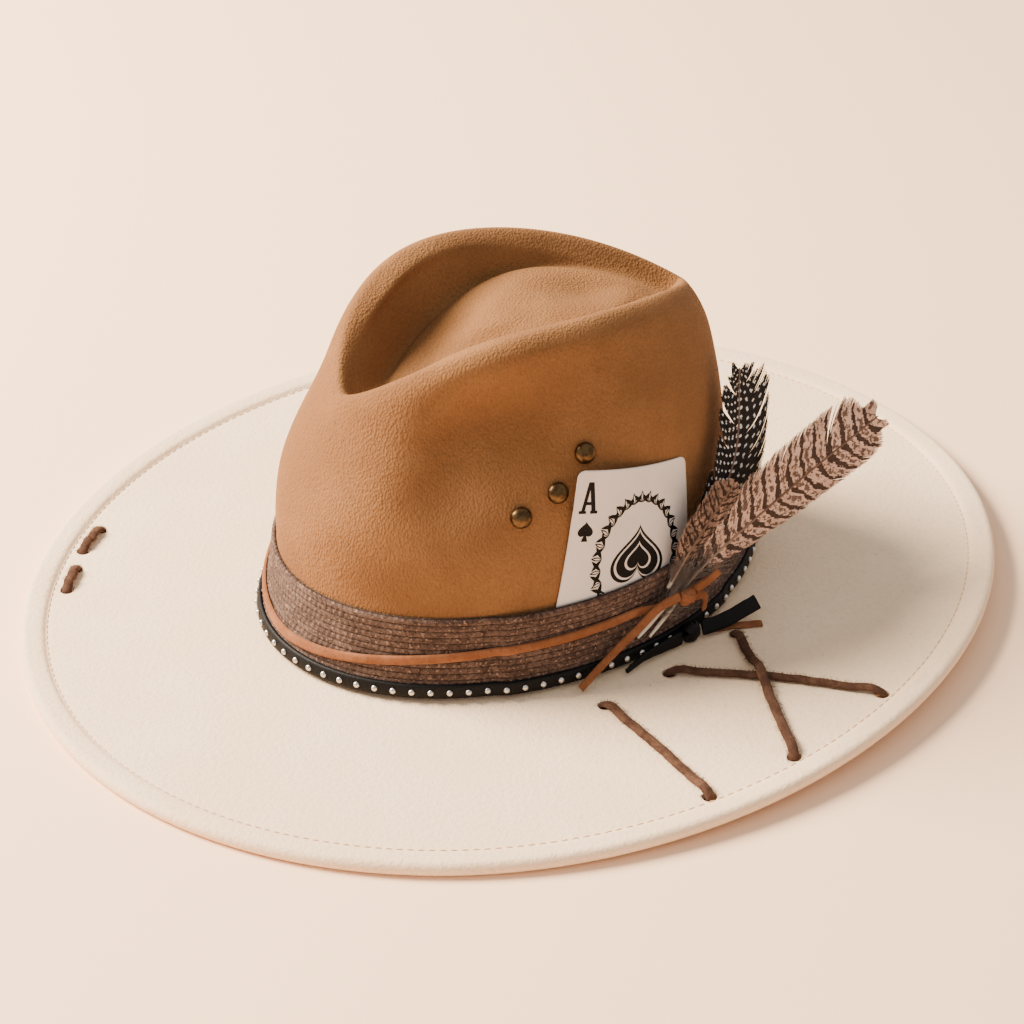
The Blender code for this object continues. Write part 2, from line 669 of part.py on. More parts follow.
def card_point(across, up):
    """A point of the card's back: across from its middle line, and up from its lower edge."""
    fine_angles = np.radians(np.arange(30, 151, 1.0))
    line = np.array([wall_point(angle, BAND_TOP, 0.0) for angle in fine_angles])
    travelled = np.concatenate([[0.0], np.cumsum(np.linalg.norm(np.diff(line, axis=0), axis=1))])
    along = across * math.cos(CARD_LEAN) + up * math.sin(CARD_LEAN)
    height = CARD_BOTTOM + up * math.cos(CARD_LEAN) - (across - CARD_WIDTH / 2) * math.sin(CARD_LEAN)
    angle = float(np.interp(np.interp(CARD_ANGLE, fine_angles, travelled) + along, travelled, fine_angles))
    bent = min(height, BAND_TOP)
    lean = wall_point(angle, BAND_TOP, 0.0) - wall_point(angle, BAND_TOP / 2, 0.0)
    return wall_point(angle, bent, 2 * SEWING_GAP) + lean * (height - bent) / lean[2]


def make_card():
    """A stiff card, straight upward and bent round the wall, tucked behind the band."""
    half = CARD_WIDTH / 2
    columns = [-half, -half + CARD_CORNER, -half / 2, 0.0, half / 2, half - CARD_CORNER, half]
    rows = [0.0, CARD_CORNER, *np.linspace(0.15, 0.88, 6) * CARD_LENGTH, CARD_LENGTH - CARD_CORNER, CARD_LENGTH]
    points = []
    for up in rows:
        for across in columns:
            at_corner = abs(across) == half and up in (0.0, CARD_LENGTH)
            inset = CARD_CORNER * 0.29 if at_corner else 0.0
            points.append(card_point(across - math.copysign(inset, across), up + (inset if up == 0.0 else -inset)))
    wide = len(columns)
    faces = [
        (up * wide + across, up * wide + across + 1, (up + 1) * wide + across + 1, (up + 1) * wide + across)
        for up in range(len(rows) - 1)
        for across in range(wide - 1)
    ]
    mesh = bpy.data.meshes.new("playing_card")
    mesh.from_pydata([tuple(point) for point in points], [], faces)
    card = new_object("playing_card", mesh, make_material("card", (0.80, 0.75, 0.70), 0.5))
    thickness = card.modifiers.new("thickness", "SOLIDIFY")
    thickness.thickness = CARD_THICKNESS
    thickness.offset = 1
    return card


def stud_place(stud):
    """Where a stud sits: the middle on the wall, its axis, and how far the wall rises and falls near it."""
    middle = wall_point(stud.angle, stud.height, 0.0)
    step = STUD_RADIUS
    up = wall_point(stud.angle, stud.height + step, 0.0) - wall_point(stud.angle, stud.height - step, 0.0)
    turn = step / CROWN_HALF_LENGTH
    along = wall_point(stud.angle + turn, stud.height, 0.0) - wall_point(stud.angle - turn, stud.height, 0.0)
    axis = np.cross(along, up)
    axis /= np.linalg.norm(axis)
    heights = []
    for offset_turn in np.linspace(-1.3, 1.3, 9) * turn:
        for offset_up in np.linspace(-1.1, 1.1, 9) * step:
            near = wall_point(stud.angle + offset_turn, stud.height + offset_up, 0.0)
            heights.append(np.dot(near - middle, axis))
    return middle, axis, max(heights), min(heights)


def make_stud(number, stud, holes):
    middle, axis, rise, fall = stud_place(stud)
    seat = rise + SEWING_GAP
    inside = fall - CROWN_FELT * 1.15 - SEWING_GAP
    arc = [math.radians(turn) for turn in (90, 62, 36, 14)]
    profile = [(STUD_RADIUS * math.cos(turn), seat + STUD_RISE * math.sin(turn)) for turn in arc]
    profile += [
        (STUD_RADIUS, seat + 0.0003),
        (STUD_RADIUS, seat),
        (STUD_POST_RADIUS, seat),
        (STUD_POST_RADIUS, inside),
        (STUD_CAP_RADIUS, inside),
        (STUD_CAP_RADIUS, inside - STUD_CAP_THICKNESS),
    ]
    profile[0] = (0.0, profile[0][1])
    profile.append((0.0, inside - STUD_CAP_THICKNESS))
    mesh = bpy.data.meshes.new("brass_stud_%d" % number)
    mesh.from_pydata([(x, 0.0, z) for x, z in profile], [(i, i + 1) for i in range(len(profile) - 1)], [])
    item = new_object("brass_stud_%d" % number, mesh, MATERIALS["brass"])
    turned = item.modifiers.new("turned", "SCREW")
    turned.steps = turned.render_steps = 14
    turned.use_merge_vertices = True
    turned.merge_threshold = 0.00005
    turned.use_smooth_shade = False
    item.location = middle
    rotation = Vector(axis).to_track_quat("Z", "Y")
    item.rotation_euler = rotation.to_euler()
    bmesh.ops.create_cone(
        holes, cap_ends=True, segments=10, radius1=STUD_HOLE_RADIUS, radius2=STUD_HOLE_RADIUS,
        depth=CROWN_FELT * 6, matrix=Matrix.Translation(middle) @ rotation.to_matrix().to_4x4(),
    )


def make_studs(crown):
    holes = bmesh.new()
    for number, stud in enumerate(STUDS, 1):
        make_stud(number, stud, holes)
    add_boolean(crown, "stud_holes", "DIFFERENCE", mesh_of(holes, "stud_holes"))


def brim_rise(x, y):
    """How far the brim is lifted at a place, found by halving the reach over the brim."""
    low, high = 0.0, 1.2
    for _ in range(30):
        reach = (low + high) / 2
        half_width = HEAD_HALF_WIDTH + (BRIM_HALF_WIDTH - HEAD_HALF_WIDTH) * reach
        half_length = HEAD_HALF_LENGTH + (BRIM_HALF_LENGTH - HEAD_HALF_LENGTH) * reach
        middle = CROWN_CENTRE_Y * (1 - reach)
        inside = (x / half_width) ** 2 + ((y - middle) / half_length) ** 2 < 1
        low, high = (low, reach) if inside else (reach, high)
    angle = math.atan2((y - middle) / half_length, x / half_width)
    return float(brim_lift(angle, reach))


def make_lace(lace, holes):
    """A lace that comes up through one hole, lies over the brim and goes down through another."""
    ends = []
    for angle, reach in ((lace.from_angle, lace.from_reach), (lace.to_angle, lace.to_reach)):
        ends.append(brim_point(np.array(math.radians(angle)), np.array(reach), np.array(0.0))[:2])
    start, end = ends
    length = np.linalg.norm(end - start)
    ahead = (end - start) / length
    sideways = np.array([-ahead[1], ahead[0]])
    over = BRIM_TOP + SEWING_GAP + LACE_THICKNESS / 2
    count = max(3, round(length / LACE_STEP))
    plan = []
    for hole, way in ((start, 1), (end, -1)):
        rise = brim_rise(*hole)
        inset = hole - ahead * way * (LACE_HOLE_RADIUS - LACE_THICKNESS / 2 - LACE_INSET)
        stack = [(*inset, BRIM_CLEARANCE + rise), (*inset, BRIM_TOP - SEWING_GAP + rise)]
        plan.append(stack if way == 1 else stack[::-1])
        bmesh.ops.create_cone(
            holes, cap_ends=True, segments=8, radius1=LACE_HOLE_RADIUS, radius2=LACE_HOLE_RADIUS,
            depth=BRIM_FELT * 4, matrix=Matrix.Translation((*hole, BRIM_CLEARANCE + BRIM_FELT / 2 + rise)),
        )
    between = []
    for place in np.linspace(LACE_TURN / length, 1 - LACE_TURN / length, count):
        x, y = start + ahead * length * place + sideways * lace.bow * math.sin(math.pi * place)
        hump = lace.hump * math.exp(-(((place - lace.hump_place) * length / LACE_HUMP_LENGTH) ** 2))
        from_hole = min(place, 1 - place) * length - LACE_TURN
        arch = LACE_ARCH * math.exp(-((from_hole / LACE_ARCH_LENGTH) ** 2))
        between.append((x, y, brim_rise(x, y) + over + hump + arch))
    path = smooth_path(plan[0] + between + plan[1], 2)
    side = np.array([*sideways, 0.0])
    direction = np.gradient(path, axis=0)
    direction /= np.linalg.norm(direction, axis=1)[:, None]
    sections = []
    for point, way in zip(path, direction):
        out = np.cross(way, side)
        turns = np.radians(np.arange(6) * 60 + 30)
        sections.append([
            point + side * LACE_WIDTH / 2 * math.cos(t) + out * LACE_THICKNESS / 2 * math.sin(t) for t in turns
        ])
    make_sweep(lace.name, sections, MATERIALS["lace"])


def make_laces(brim):
    holes = bmesh.new()
    for lace in LACES:
        make_lace(lace, holes)
    add_boolean(brim, "lace_holes", "DIFFERENCE", mesh_of(holes, "lace_holes"))


clear_scene()
HAT = bpy.data.collections.new("flat_brim_fedora")
HELPERS = bpy.data.collections.new("cutters")
for collection in (HAT, HELPERS):
    bpy.context.scene.collection.children.link(collection)
MATERIALS = {
    "suede": make_material("suede", (0.51, 0.14, 0.04), 0.9),
    "leather": make_material("leather", (0.01, 0.01, 0.01), 0.5),
    "brass": make_material("brass", (0.24, 0.13, 0.05), 0.35, metallic=1.0),
    "lace": make_material("lace", (0.11, 0.05, 0.03), 0.95),
}
crown = make_crown()
brim = make_brim()
make_band()
make_cord()
make_strap()
make_knots()
make_studs(crown)
make_laces(brim)
make_card()
for strip in STRIPS:
    make_strip(strip)
for feather, colour in zip(FEATHERS, ((0.50, 0.33, 0.24), (0.06, 0.05, 0.05), (0.30, 0.22, 0.18))):
    make_feather(feather, colour)
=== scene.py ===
# %% [markdown]
# # A flat brim fedora, dressed
# The hat is already built as plain solids in one frame: metres, +Z up, the front facing -Y, and the side
# with the card and the feathers facing +X. This notebook keeps every piece where it stands and gives it
# the fine surface that a camera sees: felt, knit, suede, leather, brass, printed card and feather barbs.

# %% Load the frame
import math
from collections import namedtuple

import bmesh
import bpy
import numpy as np
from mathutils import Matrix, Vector


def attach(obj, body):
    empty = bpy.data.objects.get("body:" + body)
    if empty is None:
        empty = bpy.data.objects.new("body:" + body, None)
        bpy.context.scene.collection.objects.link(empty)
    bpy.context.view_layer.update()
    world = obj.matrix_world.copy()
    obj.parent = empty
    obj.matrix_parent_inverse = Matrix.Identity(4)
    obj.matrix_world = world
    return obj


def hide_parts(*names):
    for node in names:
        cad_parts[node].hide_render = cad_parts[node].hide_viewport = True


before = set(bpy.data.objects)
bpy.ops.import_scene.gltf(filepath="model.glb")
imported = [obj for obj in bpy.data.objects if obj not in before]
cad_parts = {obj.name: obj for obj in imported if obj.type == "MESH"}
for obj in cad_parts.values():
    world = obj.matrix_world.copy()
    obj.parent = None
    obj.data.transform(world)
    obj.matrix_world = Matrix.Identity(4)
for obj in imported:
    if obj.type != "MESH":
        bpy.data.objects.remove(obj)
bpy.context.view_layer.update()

# %% [markdown]
# ## The camera
# The picture was taken from above the hat's front left corner, as the hat lies on its brim. The camera's
# place was found by fitting the outlines of the brim and the crown. It aims at the origin, and a small
# shift of the picture puts the hat in the same place in the frame.

# %% Camera
CAMERA_AZIMUTH = math.radians(55.0)
CAMERA_HEIGHT = math.radians(35.03)
CAMERA_DISTANCE = 1.040
PICTURE_SIZE = 1024
FOCAL_PIXELS = 2507
ORIGIN_PIXEL = (4.4, 58.6)
SENSOR = 36.0

level = math.cos(CAMERA_HEIGHT)
camera_side = Vector((math.sin(CAMERA_AZIMUTH) * level, -math.cos(CAMERA_AZIMUTH) * level, math.sin(CAMERA_HEIGHT)))
camera = bpy.data.objects.new("camera", bpy.data.cameras.new("camera"))
camera.location = camera_side * CAMERA_DISTANCE
camera.rotation_euler = camera_side.to_track_quat("Z", "Y").to_euler()
camera.data.sensor_width = SENSOR
camera.data.lens = FOCAL_PIXELS / PICTURE_SIZE * SENSOR
camera.data.shift_x = -ORIGIN_PIXEL[0] / PICTURE_SIZE
camera.data.shift_y = ORIGIN_PIXEL[1] / PICTURE_SIZE
camera.data.clip_start = 0.01
bpy.context.scene.collection.objects.link(camera)
bpy.context.scene.camera = camera
print("the lens is %.1f mm long" % camera.data.lens)

# %% [markdown]
# ## Sums on sockets
# A material is a small sum over the surface. Wired by hand, each plus or times is a node, two links and
# a few lines. Here one class wraps a socket and lets Python's own operators add those nodes, so a
# pattern reads as it would on paper.

# %% A socket that can be added and multiplied
class Flow:
    """A shader socket that takes part in Python sums."""

    def __init__(self, finish, socket):
        self.finish = finish
        self.socket = socket

    def __add__(self, other):
        return self.finish.math("ADD", self, other)

    def __radd__(self, other):
        return self.finish.math("ADD", other, self)

    def __sub__(self, other):
        return self.finish.math("SUBTRACT", self, other)

    def __rsub__(self, other):
        return self.finish.math("SUBTRACT", other, self)

    def __mul__(self, other):
        return self.finish.math("MULTIPLY", self, other)

    def __rmul__(self, other):
        return self.finish.math("MULTIPLY", other, self)

    def __truediv__(self, other):
        return self.finish.math("DIVIDE", self, other)

    def __pow__(self, other):
        return self.finish.math("POWER", self, other)

    def __lt__(self, other):
        return self.finish.math("LESS_THAN", self, other)

    def __gt__(self, other):
        return self.finish.math("GREATER_THAN", self, other)


class Finish:
    """A material: its fixed values are set on the shader, and what varies is fed to it."""

    def __init__(self, name, **fixed):
        self.material = bpy.data.materials.new(name)
        self.material.use_nodes = True
        self.tree = self.material.node_tree
        self.shader = self.tree.nodes["Principled BSDF"]
        for socket, value in fixed.items():
            self.shader.inputs[socket.replace("_", " ")].default_value = value

    def join(self, value, socket):
        if isinstance(value, Flow):
            self.tree.links.new(value.socket, socket)
        else:
            socket.default_value = value

    def add(self, kind, settings=None, inputs=None, output=0):
        """Any node: its settings come first, then the values or links of its sockets."""
        node = self.tree.nodes.new("ShaderNode" + kind)
        for name, value in (settings or {}).items():
            if name == "stops":
                self.set_stops(node.color_ramp, value)
            else:
                setattr(node, name, value)
        for socket, value in (inputs or {}).items():
            self.join(value, node.inputs[socket])
        return Flow(self, node.outputs[output])

    def set_stops(self, ramp, stops):
        while len(ramp.elements) < len(stops):
            ramp.elements.new(0.5)
        for element, (position, shade) in zip(ramp.elements, stops):
            element.position = position
            element.color = (*shade, 1.0) if hasattr(shade, "__len__") else (shade, shade, shade, 1.0)

    def math(self, operation, first, second=0.0):
        return self.add("Math", {"operation": operation}, {0: first, 1: second})

    def blend(self, share, first, second, way="MIX"):
        """Two colours mixed by a share."""
        settings = {"data_type": "RGBA", "blend_type": way, "clamp_factor": True}
        return self.add("Mix", settings, {0: share, 6: paint(first), 7: paint(second)}, output=2)

    def ramp(self, value, *stops):
        return self.add("ValToRGB", {"stops": stops}, {0: value})

    def step(self, value, low, high):
        """0 below low, 1 above high and smooth between."""
        settings = {"interpolation_type": "SMOOTHSTEP"}
        return self.add("MapRange", settings, {0: value, 1: low, 2: high, 3: 0.0, 4: 1.0})

    def place(self):
        return self.add("TexCoord", output=3)

    def stretched(self, amounts):
        """The place on the object, scaled along each axis, for marks that run one way."""
        settings = {"operation": "MULTIPLY"}
        return self.add("VectorMath", settings, {0: self.place(), 1: amounts})

    def noise(self, scale, detail=2.0, rough=0.5, where=None):
        inputs = {"Scale": scale, "Detail": detail, "Roughness": rough, "Vector": where or self.place()}
        return self.add("TexNoise", None, inputs)

    def cells(self, scale, where=None, spread=1.0):
        return self.add("TexVoronoi", None, {"Scale": scale, "Vector": where or self.place(), "Randomness": spread})

    def chart(self, name="chart"):
        """The two numbers of a UV chart as separate flows."""
        split = self.add("SeparateXYZ", None, {0: self.add("UVMap", {"uv_map": name})})
        node = split.socket.node
        return Flow(self, node.outputs[0]), Flow(self, node.outputs[1])

    def feed(self, **flows):
        for socket, value in flows.items():
            self.join(value, self.shader.inputs[socket.replace("_", " ")])

    def bump(self, *layers):
        """Heights in metres, each with its own strength, stacked on the surface."""
        normal = None
        for height, strength, depth in layers:
            inputs = {"Height": height, "Strength": strength, "Distance": depth}
            if normal is not None:
                inputs["Normal"] = normal
            normal = self.add("Bump", None, inputs)
        self.feed(Normal=normal)


def paint(colour):
    return (*colour, 1.0) if isinstance(colour, tuple) and len(colour) == 3 else colour


def shade(red, green, blue):
    """A colour read as 0 to 255, as the linear values that the shader works in."""
    return tuple(((part / 255 + 0.055) / 1.055) ** 2.4 if part > 10 else part / 255 / 12.92 for part in (red, green, blue))


print("camel felt is", tuple(round(part, 3) for part in shade(190, 130, 75)))

# %% [markdown]
# ## The floor and the light
# The hat lay on a pale surface under one large soft light, high on the left of the picture. A big area
# lamp there gives the long soft shadow to the right, and an even sky fills the rest.

# %% Floor and lights
FLOOR_SIZE = 8.0
LIGHT_REACH = 1.9
LIGHT_SIZE = 0.95
LIGHT_POWER = 208.0
SKY_STRENGTH = 0.79

floor_mesh = bmesh.new()
bmesh.ops.create_grid(floor_mesh, x_segments=2, y_segments=2, size=FLOOR_SIZE / 2)
floor_data = bpy.data.meshes.new("floor")
floor_mesh.to_mesh(floor_data)
floor_mesh.free()
floor = bpy.data.objects.new("floor", floor_data)
bpy.context.scene.collection.objects.link(floor)
floor_finish = Finish("floor", Roughness=0.9)
floor_finish.shader.inputs["Base Color"].default_value = paint(shade(252, 214, 178))
floor_data.materials.append(floor_finish.material)

picture_right = Vector((math.cos(CAMERA_AZIMUTH), math.sin(CAMERA_AZIMUTH), 0.0))
picture_depth = Vector((-math.sin(CAMERA_AZIMUTH), math.cos(CAMERA_AZIMUTH), 0.0))
lamp_side = (-picture_right * 0.85 + picture_depth * 0.22 + Vector((0.0, 0.0, 0.74))).normalized()
lamp = bpy.data.objects.new("window_light", bpy.data.lights.new("window_light", "AREA"))
lamp.data.shape = "DISK"
lamp.data.size = LIGHT_SIZE
lamp.data.energy = LIGHT_POWER
lamp.data.color = (1.0, 0.86, 0.70)
lamp.location = lamp_side * LIGHT_REACH
lamp.rotation_euler = lamp_side.to_track_quat("Z", "Y").to_euler()
bpy.context.scene.collection.objects.link(lamp)

sky = bpy.data.worlds.new("sky")
sky.use_nodes = True
sky.node_tree.nodes["Background"].inputs["Color"].default_value = (1.0, 0.97, 0.94, 1.0)
sky.node_tree.nodes["Background"].inputs["Strength"].default_value = SKY_STRENGTH
bpy.context.scene.world = sky
print("the lamp stands at", tuple(round(v, 2) for v in lamp.location))

# %% [markdown]
# ## Making meshes
# Nearly everything on a hat is a ring, a strip or a wall. Each can be written as a grid of points:
# rows along, columns round. These helpers turn such grids into meshes, with a chart of two numbers laid
# over them for the patterns.

# %% Mesh helpers
ROOT = "root"


def add_piece(name, mesh, finish, slot, *nodes):
    """Put a mesh in the scene as a piece of the hat, in place of the solids that it stands for."""
    piece = bpy.data.objects.new(name, mesh)
    bpy.context.scene.collection.objects.link(piece)
    mesh.materials.append(finish.material)
    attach(piece, ROOT)
    if nodes:
        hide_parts(*nodes)
    return piece


def grid_faces(rows, columns, close_rows=False, close_columns=False, start=0):
    """The quads of a grid of points, as an array of four indices each."""
    row = np.arange(rows if close_rows else rows - 1)
    column = np.arange(columns if close_columns else columns - 1)
    r, c = np.meshgrid(row, column, indexing="ij")
    after_r = (r + 1) % rows
    after_c = (c + 1) % columns
    corners = [r * columns + c, r * columns + after_c, after_r * columns + after_c, after_r * columns + c]
    return np.stack([corner.ravel() for corner in corners], axis=-1) + start


def build_mesh(name, points, faces, chart=None, smooth=True):
    """A mesh from arrays: points (n, 3), quads (m, 4) and a chart with two numbers for each point."""
    points = np.asarray(points, np.float32).reshape(-1, 3)
    faces = np.asarray(faces, np.int32)
    mesh = bpy.data.meshes.new(name)
    mesh.vertices.add(len(points))
    mesh.vertices.foreach_set("co", points.ravel())
    mesh.loops.add(faces.size)
    mesh.loops.foreach_set("vertex_index", faces.ravel())
    mesh.polygons.add(len(faces))
    mesh.polygons.foreach_set("loop_start", np.arange(len(faces), dtype=np.int32) * faces.shape[1])
    mesh.update(calc_edges=True)
    mesh.validate()
    if chart is not None:
        layer = mesh.uv_layers.new(name="chart")
        corners = np.zeros(len(mesh.loops), np.int32)
        mesh.loops.foreach_get("vertex_index", corners)
        values = np.asarray(chart, np.float32).reshape(-1, 2)[corners]
        layer.data.foreach_set("uv", values.ravel())
    if smooth:
        mesh.shade_smooth()
    return mesh


def unit(vectors):
    return vectors / np.maximum(np.linalg.norm(vectors, axis=-1, keepdims=True), 1e-12)


def smooth_rows(rows, counts):
    """A curve through whole rows of points, with counts[i] rows drawn from row i to the next."""
    rows = np.asarray(rows, float)
    padded = np.concatenate([[2 * rows[0] - rows[1]], rows, [2 * rows[-1] - rows[-2]]])
    spans = [np.linalg.norm(b[..., :3] - a[..., :3], axis=-1).mean() for a, b in zip(padded, padded[1:])]
    knots = np.concatenate([[0.0], np.cumsum(np.sqrt(np.maximum(spans, 1e-6)))])
    drawn = []
    for index, count in enumerate(counts):
        p0, p1, p2, p3 = padded[index : index + 4]
        k0, k1, k2, k3 = knots[index : index + 4]
        for k in np.linspace(k1, k2, count, endpoint=False):
            a1 = (k1 - k) / (k1 - k0) * p0 + (k - k0) / (k1 - k0) * p1
            a2 = (k2 - k) / (k2 - k1) * p1 + (k - k1) / (k2 - k1) * p2
            a3 = (k3 - k) / (k3 - k2) * p2 + (k - k2) / (k3 - k2) * p3
            b1 = (k2 - k) / (k2 - k0) * a1 + (k - k0) / (k2 - k0) * a2
            b2 = (k3 - k) / (k3 - k1) * a2 + (k - k1) / (k3 - k1) * a3
            drawn.append((k2 - k) / (k2 - k1) * b1 + (k - k1) / (k2 - k1) * b2)
    drawn.append(rows[-1])
    return np.array(drawn)


def smooth_path(points, steps):
    """Points along a smooth curve through a few given ones."""
    rows = np.asarray(points, float)[:, None, :]
    return smooth_rows(rows, [steps] * (len(points) - 1))[:, 0]


def waves(seed, count=5):
    """A smooth wobble from a few sine waves, the same each time for one seed."""
    chance = np.random.default_rng(seed)
    turns = chance.uniform(0, 2 * math.pi, count)
    sizes = chance.uniform(0.4, 1.0, count) / np.arange(1, count + 1) ** 0.5
    rates = np.arange(1, count + 1) * chance.uniform(0.8, 1.3, count)
    return lambda place: sum(
        size * np.sin(2 * math.pi * rate * np.asarray(place) + turn) for size, rate, turn in zip(sizes, rates, turns)
    ) / sizes.sum()


print("mesh helpers are ready")

# %% [markdown]
# ## The crown
# The crown is one sheet of wool felt, steamed over a block: a teardrop crease on top with a dome inside
# it, and a long dent in each side. It could be sculpted, but its sections are simple ovals, so it is
# worked out from the same short tables as the solid, only drawn much finer.

# %% The hat's sizes
HEAD_HALF_WIDTH = 0.0740
HEAD_HALF_LENGTH = 0.1025
CROWN_CENTRE_Y = -0.0024
RIDGE_HEIGHT = 0.1350
FELT = 0.0024
GAP = 0.0003
BRIM_HALF_WIDTH = 0.1805
BRIM_HALF_LENGTH = 0.2076
BRIM_CLEARANCE = 0.0018
CROWN_HALF_WIDTH = HEAD_HALF_WIDTH + 2 * FELT + GAP
CROWN_HALF_LENGTH = HEAD_HALF_LENGTH + 2 * FELT + GAP
BRIM_TOP = BRIM_CLEARANCE + FELT
CROWN_BASE = BRIM_TOP + 2 * GAP

Heights = namedtuple("Heights", "front front_quarter side back_quarter back")
RIDGE = Heights(0.796, 0.931, 0.990, 0.889, 0.795)
GROOVE = Heights(0.750, 0.775, 0.850, 0.855, 0.825)
DOME = Heights(0.785, 0.815, 0.880, 0.882, 0.852)
DOME_TOP = Heights(0.874, 0.882, 0.893, 0.895, 0.893)

Section = namedtuple("Section", "level rise half_width front back pinch skew rows")
SECTIONS = (
    Section(RIDGE, 0.00, 1.000, 1.000, 1.000, 1.00, 0.00, 1),
    Section(RIDGE, 0.03, 1.000, 0.998, 0.998, 1.00, 0.00, 1),
    Section(RIDGE, 0.14, 0.975, 0.965, 0.960, 1.00, 0.00, 1),
    Section(RIDGE, 0.28, 0.948, 0.940, 0.910, 1.00, 0.00, 1),
    Section(RIDGE, 0.42, 0.921, 0.938, 0.875, 1.00, 0.00, 1),
    Section(RIDGE, 0.58, 0.880, 0.915, 0.860, 1.00, 0.00, 1),
    Section(RIDGE, 0.74, 0.811, 0.845, 0.842, 1.00, 0.02, 2),
    Section(RIDGE, 0.89, 0.690, 0.780, 0.835, 1.16, 0.05, 2),
    Section(RIDGE, 0.975, 0.620, 0.740, 0.800, 1.36, 0.10, 1),
    Section(RIDGE, 1.000, 0.540, 0.710, 0.773, 1.45, 0.13, 2),
    Section(RIDGE, 0.965, 0.450, 0.655, 0.715, 1.50, 0.13, 2),
    Section(GROOVE, 1.000, 0.375, 0.545, 0.560, 1.35, -0.15, 1),
    Section(GROOVE, 1.018, 0.335, 0.490, 0.500, 1.30, -0.15, 1),
    Section(DOME, 1.000, 0.220, 0.320, 0.340, 1.15, -0.10, 1),
    Section(DOME_TOP, 1.000, 0.080, 0.120, 0.140, 1.00, 0.00, 1),
)
DENT_DEPTH = 0.0155
DENT_ANGLE = math.radians(56)
DENT_RISE = 0.77
DENT_FRONT_SPREAD = math.radians(17)
DENT_BACK_SPREAD = math.radians(30)
DENT_LOWER_SPREAD = 0.20
DENT_UPPER_SPREAD = 0.13
print("the crown is %.0f mm wide at the brim" % (CROWN_HALF_WIDTH * 2000))

# %% The crown's surface
def height_between(heights, angle):
    """Read the five heights at an angle from the front, as an even cosine series."""
    stations = np.radians([0.0, 45.0, 90.0, 135.0, 180.0])
    counts = np.arange(5)
    weights = np.linalg.solve(np.cos(np.outer(stations, counts)), np.array(heights))
    return np.cos(np.outer(angle, counts)) @ weights


def crown_section(section, angle):
    middle = (section.back - section.front) / 2 * CROWN_HALF_LENGTH + CROWN_CENTRE_Y
    reach = (section.back + section.front) / 2 * CROWN_HALF_LENGTH
    width = section.half_width * CROWN_HALF_WIDTH * (1 + section.skew * np.cos(angle))
    across = np.sign(np.sin(angle)) * np.abs(np.sin(angle)) ** section.pinch
    rise = section.rise if section.level is RIDGE else 2.0
    height = section.rise * RIDGE_HEIGHT * height_between(section.level, angle)
    return np.stack(
        [width * across, middle - reach * np.cos(angle), CROWN_BASE + height, np.full_like(angle, rise)], axis=-1
    )


def crown_grid(sides, fineness):
    """Rows of points over the crown's outer face, from the hem to the small ring on the dome."""
    angle = np.arange(sides) * 2 * math.pi / sides
    rings = [crown_section(section, angle) for section in SECTIONS]
    grid = smooth_rows(rings, [section.rows * fineness for section in SECTIONS[:-1]])
    points = grid[..., :3]
    around = np.roll(points, -1, axis=1) - np.roll(points, 1, axis=1)
    outward = unit(np.stack([around[..., 1], -around[..., 0], np.zeros_like(around[..., 0])], axis=-1))
    off_angle = np.minimum(angle, 2 * math.pi - angle) - DENT_ANGLE
    off_angle = off_angle / np.where(off_angle < 0, DENT_FRONT_SPREAD, DENT_BACK_SPREAD)
    off_rise = grid[..., 3] - DENT_RISE
    off_rise = off_rise / np.where(off_rise < 0, DENT_LOWER_SPREAD, DENT_UPPER_SPREAD)
    push = DENT_DEPTH * np.exp(-(off_angle**2) - off_rise**2)
    return points - outward * push[..., None]


CROWN_SIDES = 288
CROWN_FINENESS = 5
outer = crown_grid(CROWN_SIDES, CROWN_FINENESS)
print("the crown is drawn with %d rows of %d points" % outer.shape[:2])

# %% [markdown]
# The felt was rubbed up to a short nap that lies in patches, so it is darker where the nap stands and
# lighter where it lies flat. Two sizes of noise make the patches, a fine one the grain, and a little
# sheen on the shader gives felt its soft rim of light. The nap's direction matters too, so some of the
# noise is stretched along the crown.

# %% Camel felt
def make_felt(name, middle, light, dark, grain):
    felt = Finish(name, Roughness=0.92, Sheen_Weight=0.12, Sheen_Roughness=0.45)
    felt.shader.inputs["Sheen Tint"].default_value = paint(light)
    felt.shader.inputs["Specular IOR Level"].default_value = 0.18
    patches = felt.noise(26, 3, 0.55)
    flecks = felt.noise(1100, 3, 0.65, felt.stretched((1.0, 1.0, 0.55)))
    fibres = felt.noise(1500, 2, 0.6)
    crinkle = felt.cells(1050, felt.stretched((1.0, 1.0, 0.7)))
    tone = felt.blend(felt.step(patches, 0.36, 0.66), middle, light)
    tone = felt.blend(felt.step(flecks, 0.42, 0.72) * (grain * 0.6), tone, dark)
    felt.feed(Base_Color=tone, Roughness=0.85 + fibres * 0.13)
    felt.bump((crinkle, 0.6, 0.0009 * grain), (flecks, 0.6, 0.0005 * grain), (fibres, 0.5, 0.00022), (patches, 0.3, 0.0016))
    return felt


camel_felt = make_felt("camel_felt", shade(120, 81, 47), shade(133, 92, 55), shade(90, 60, 34), 0.6)
print("made", camel_felt.material.name)

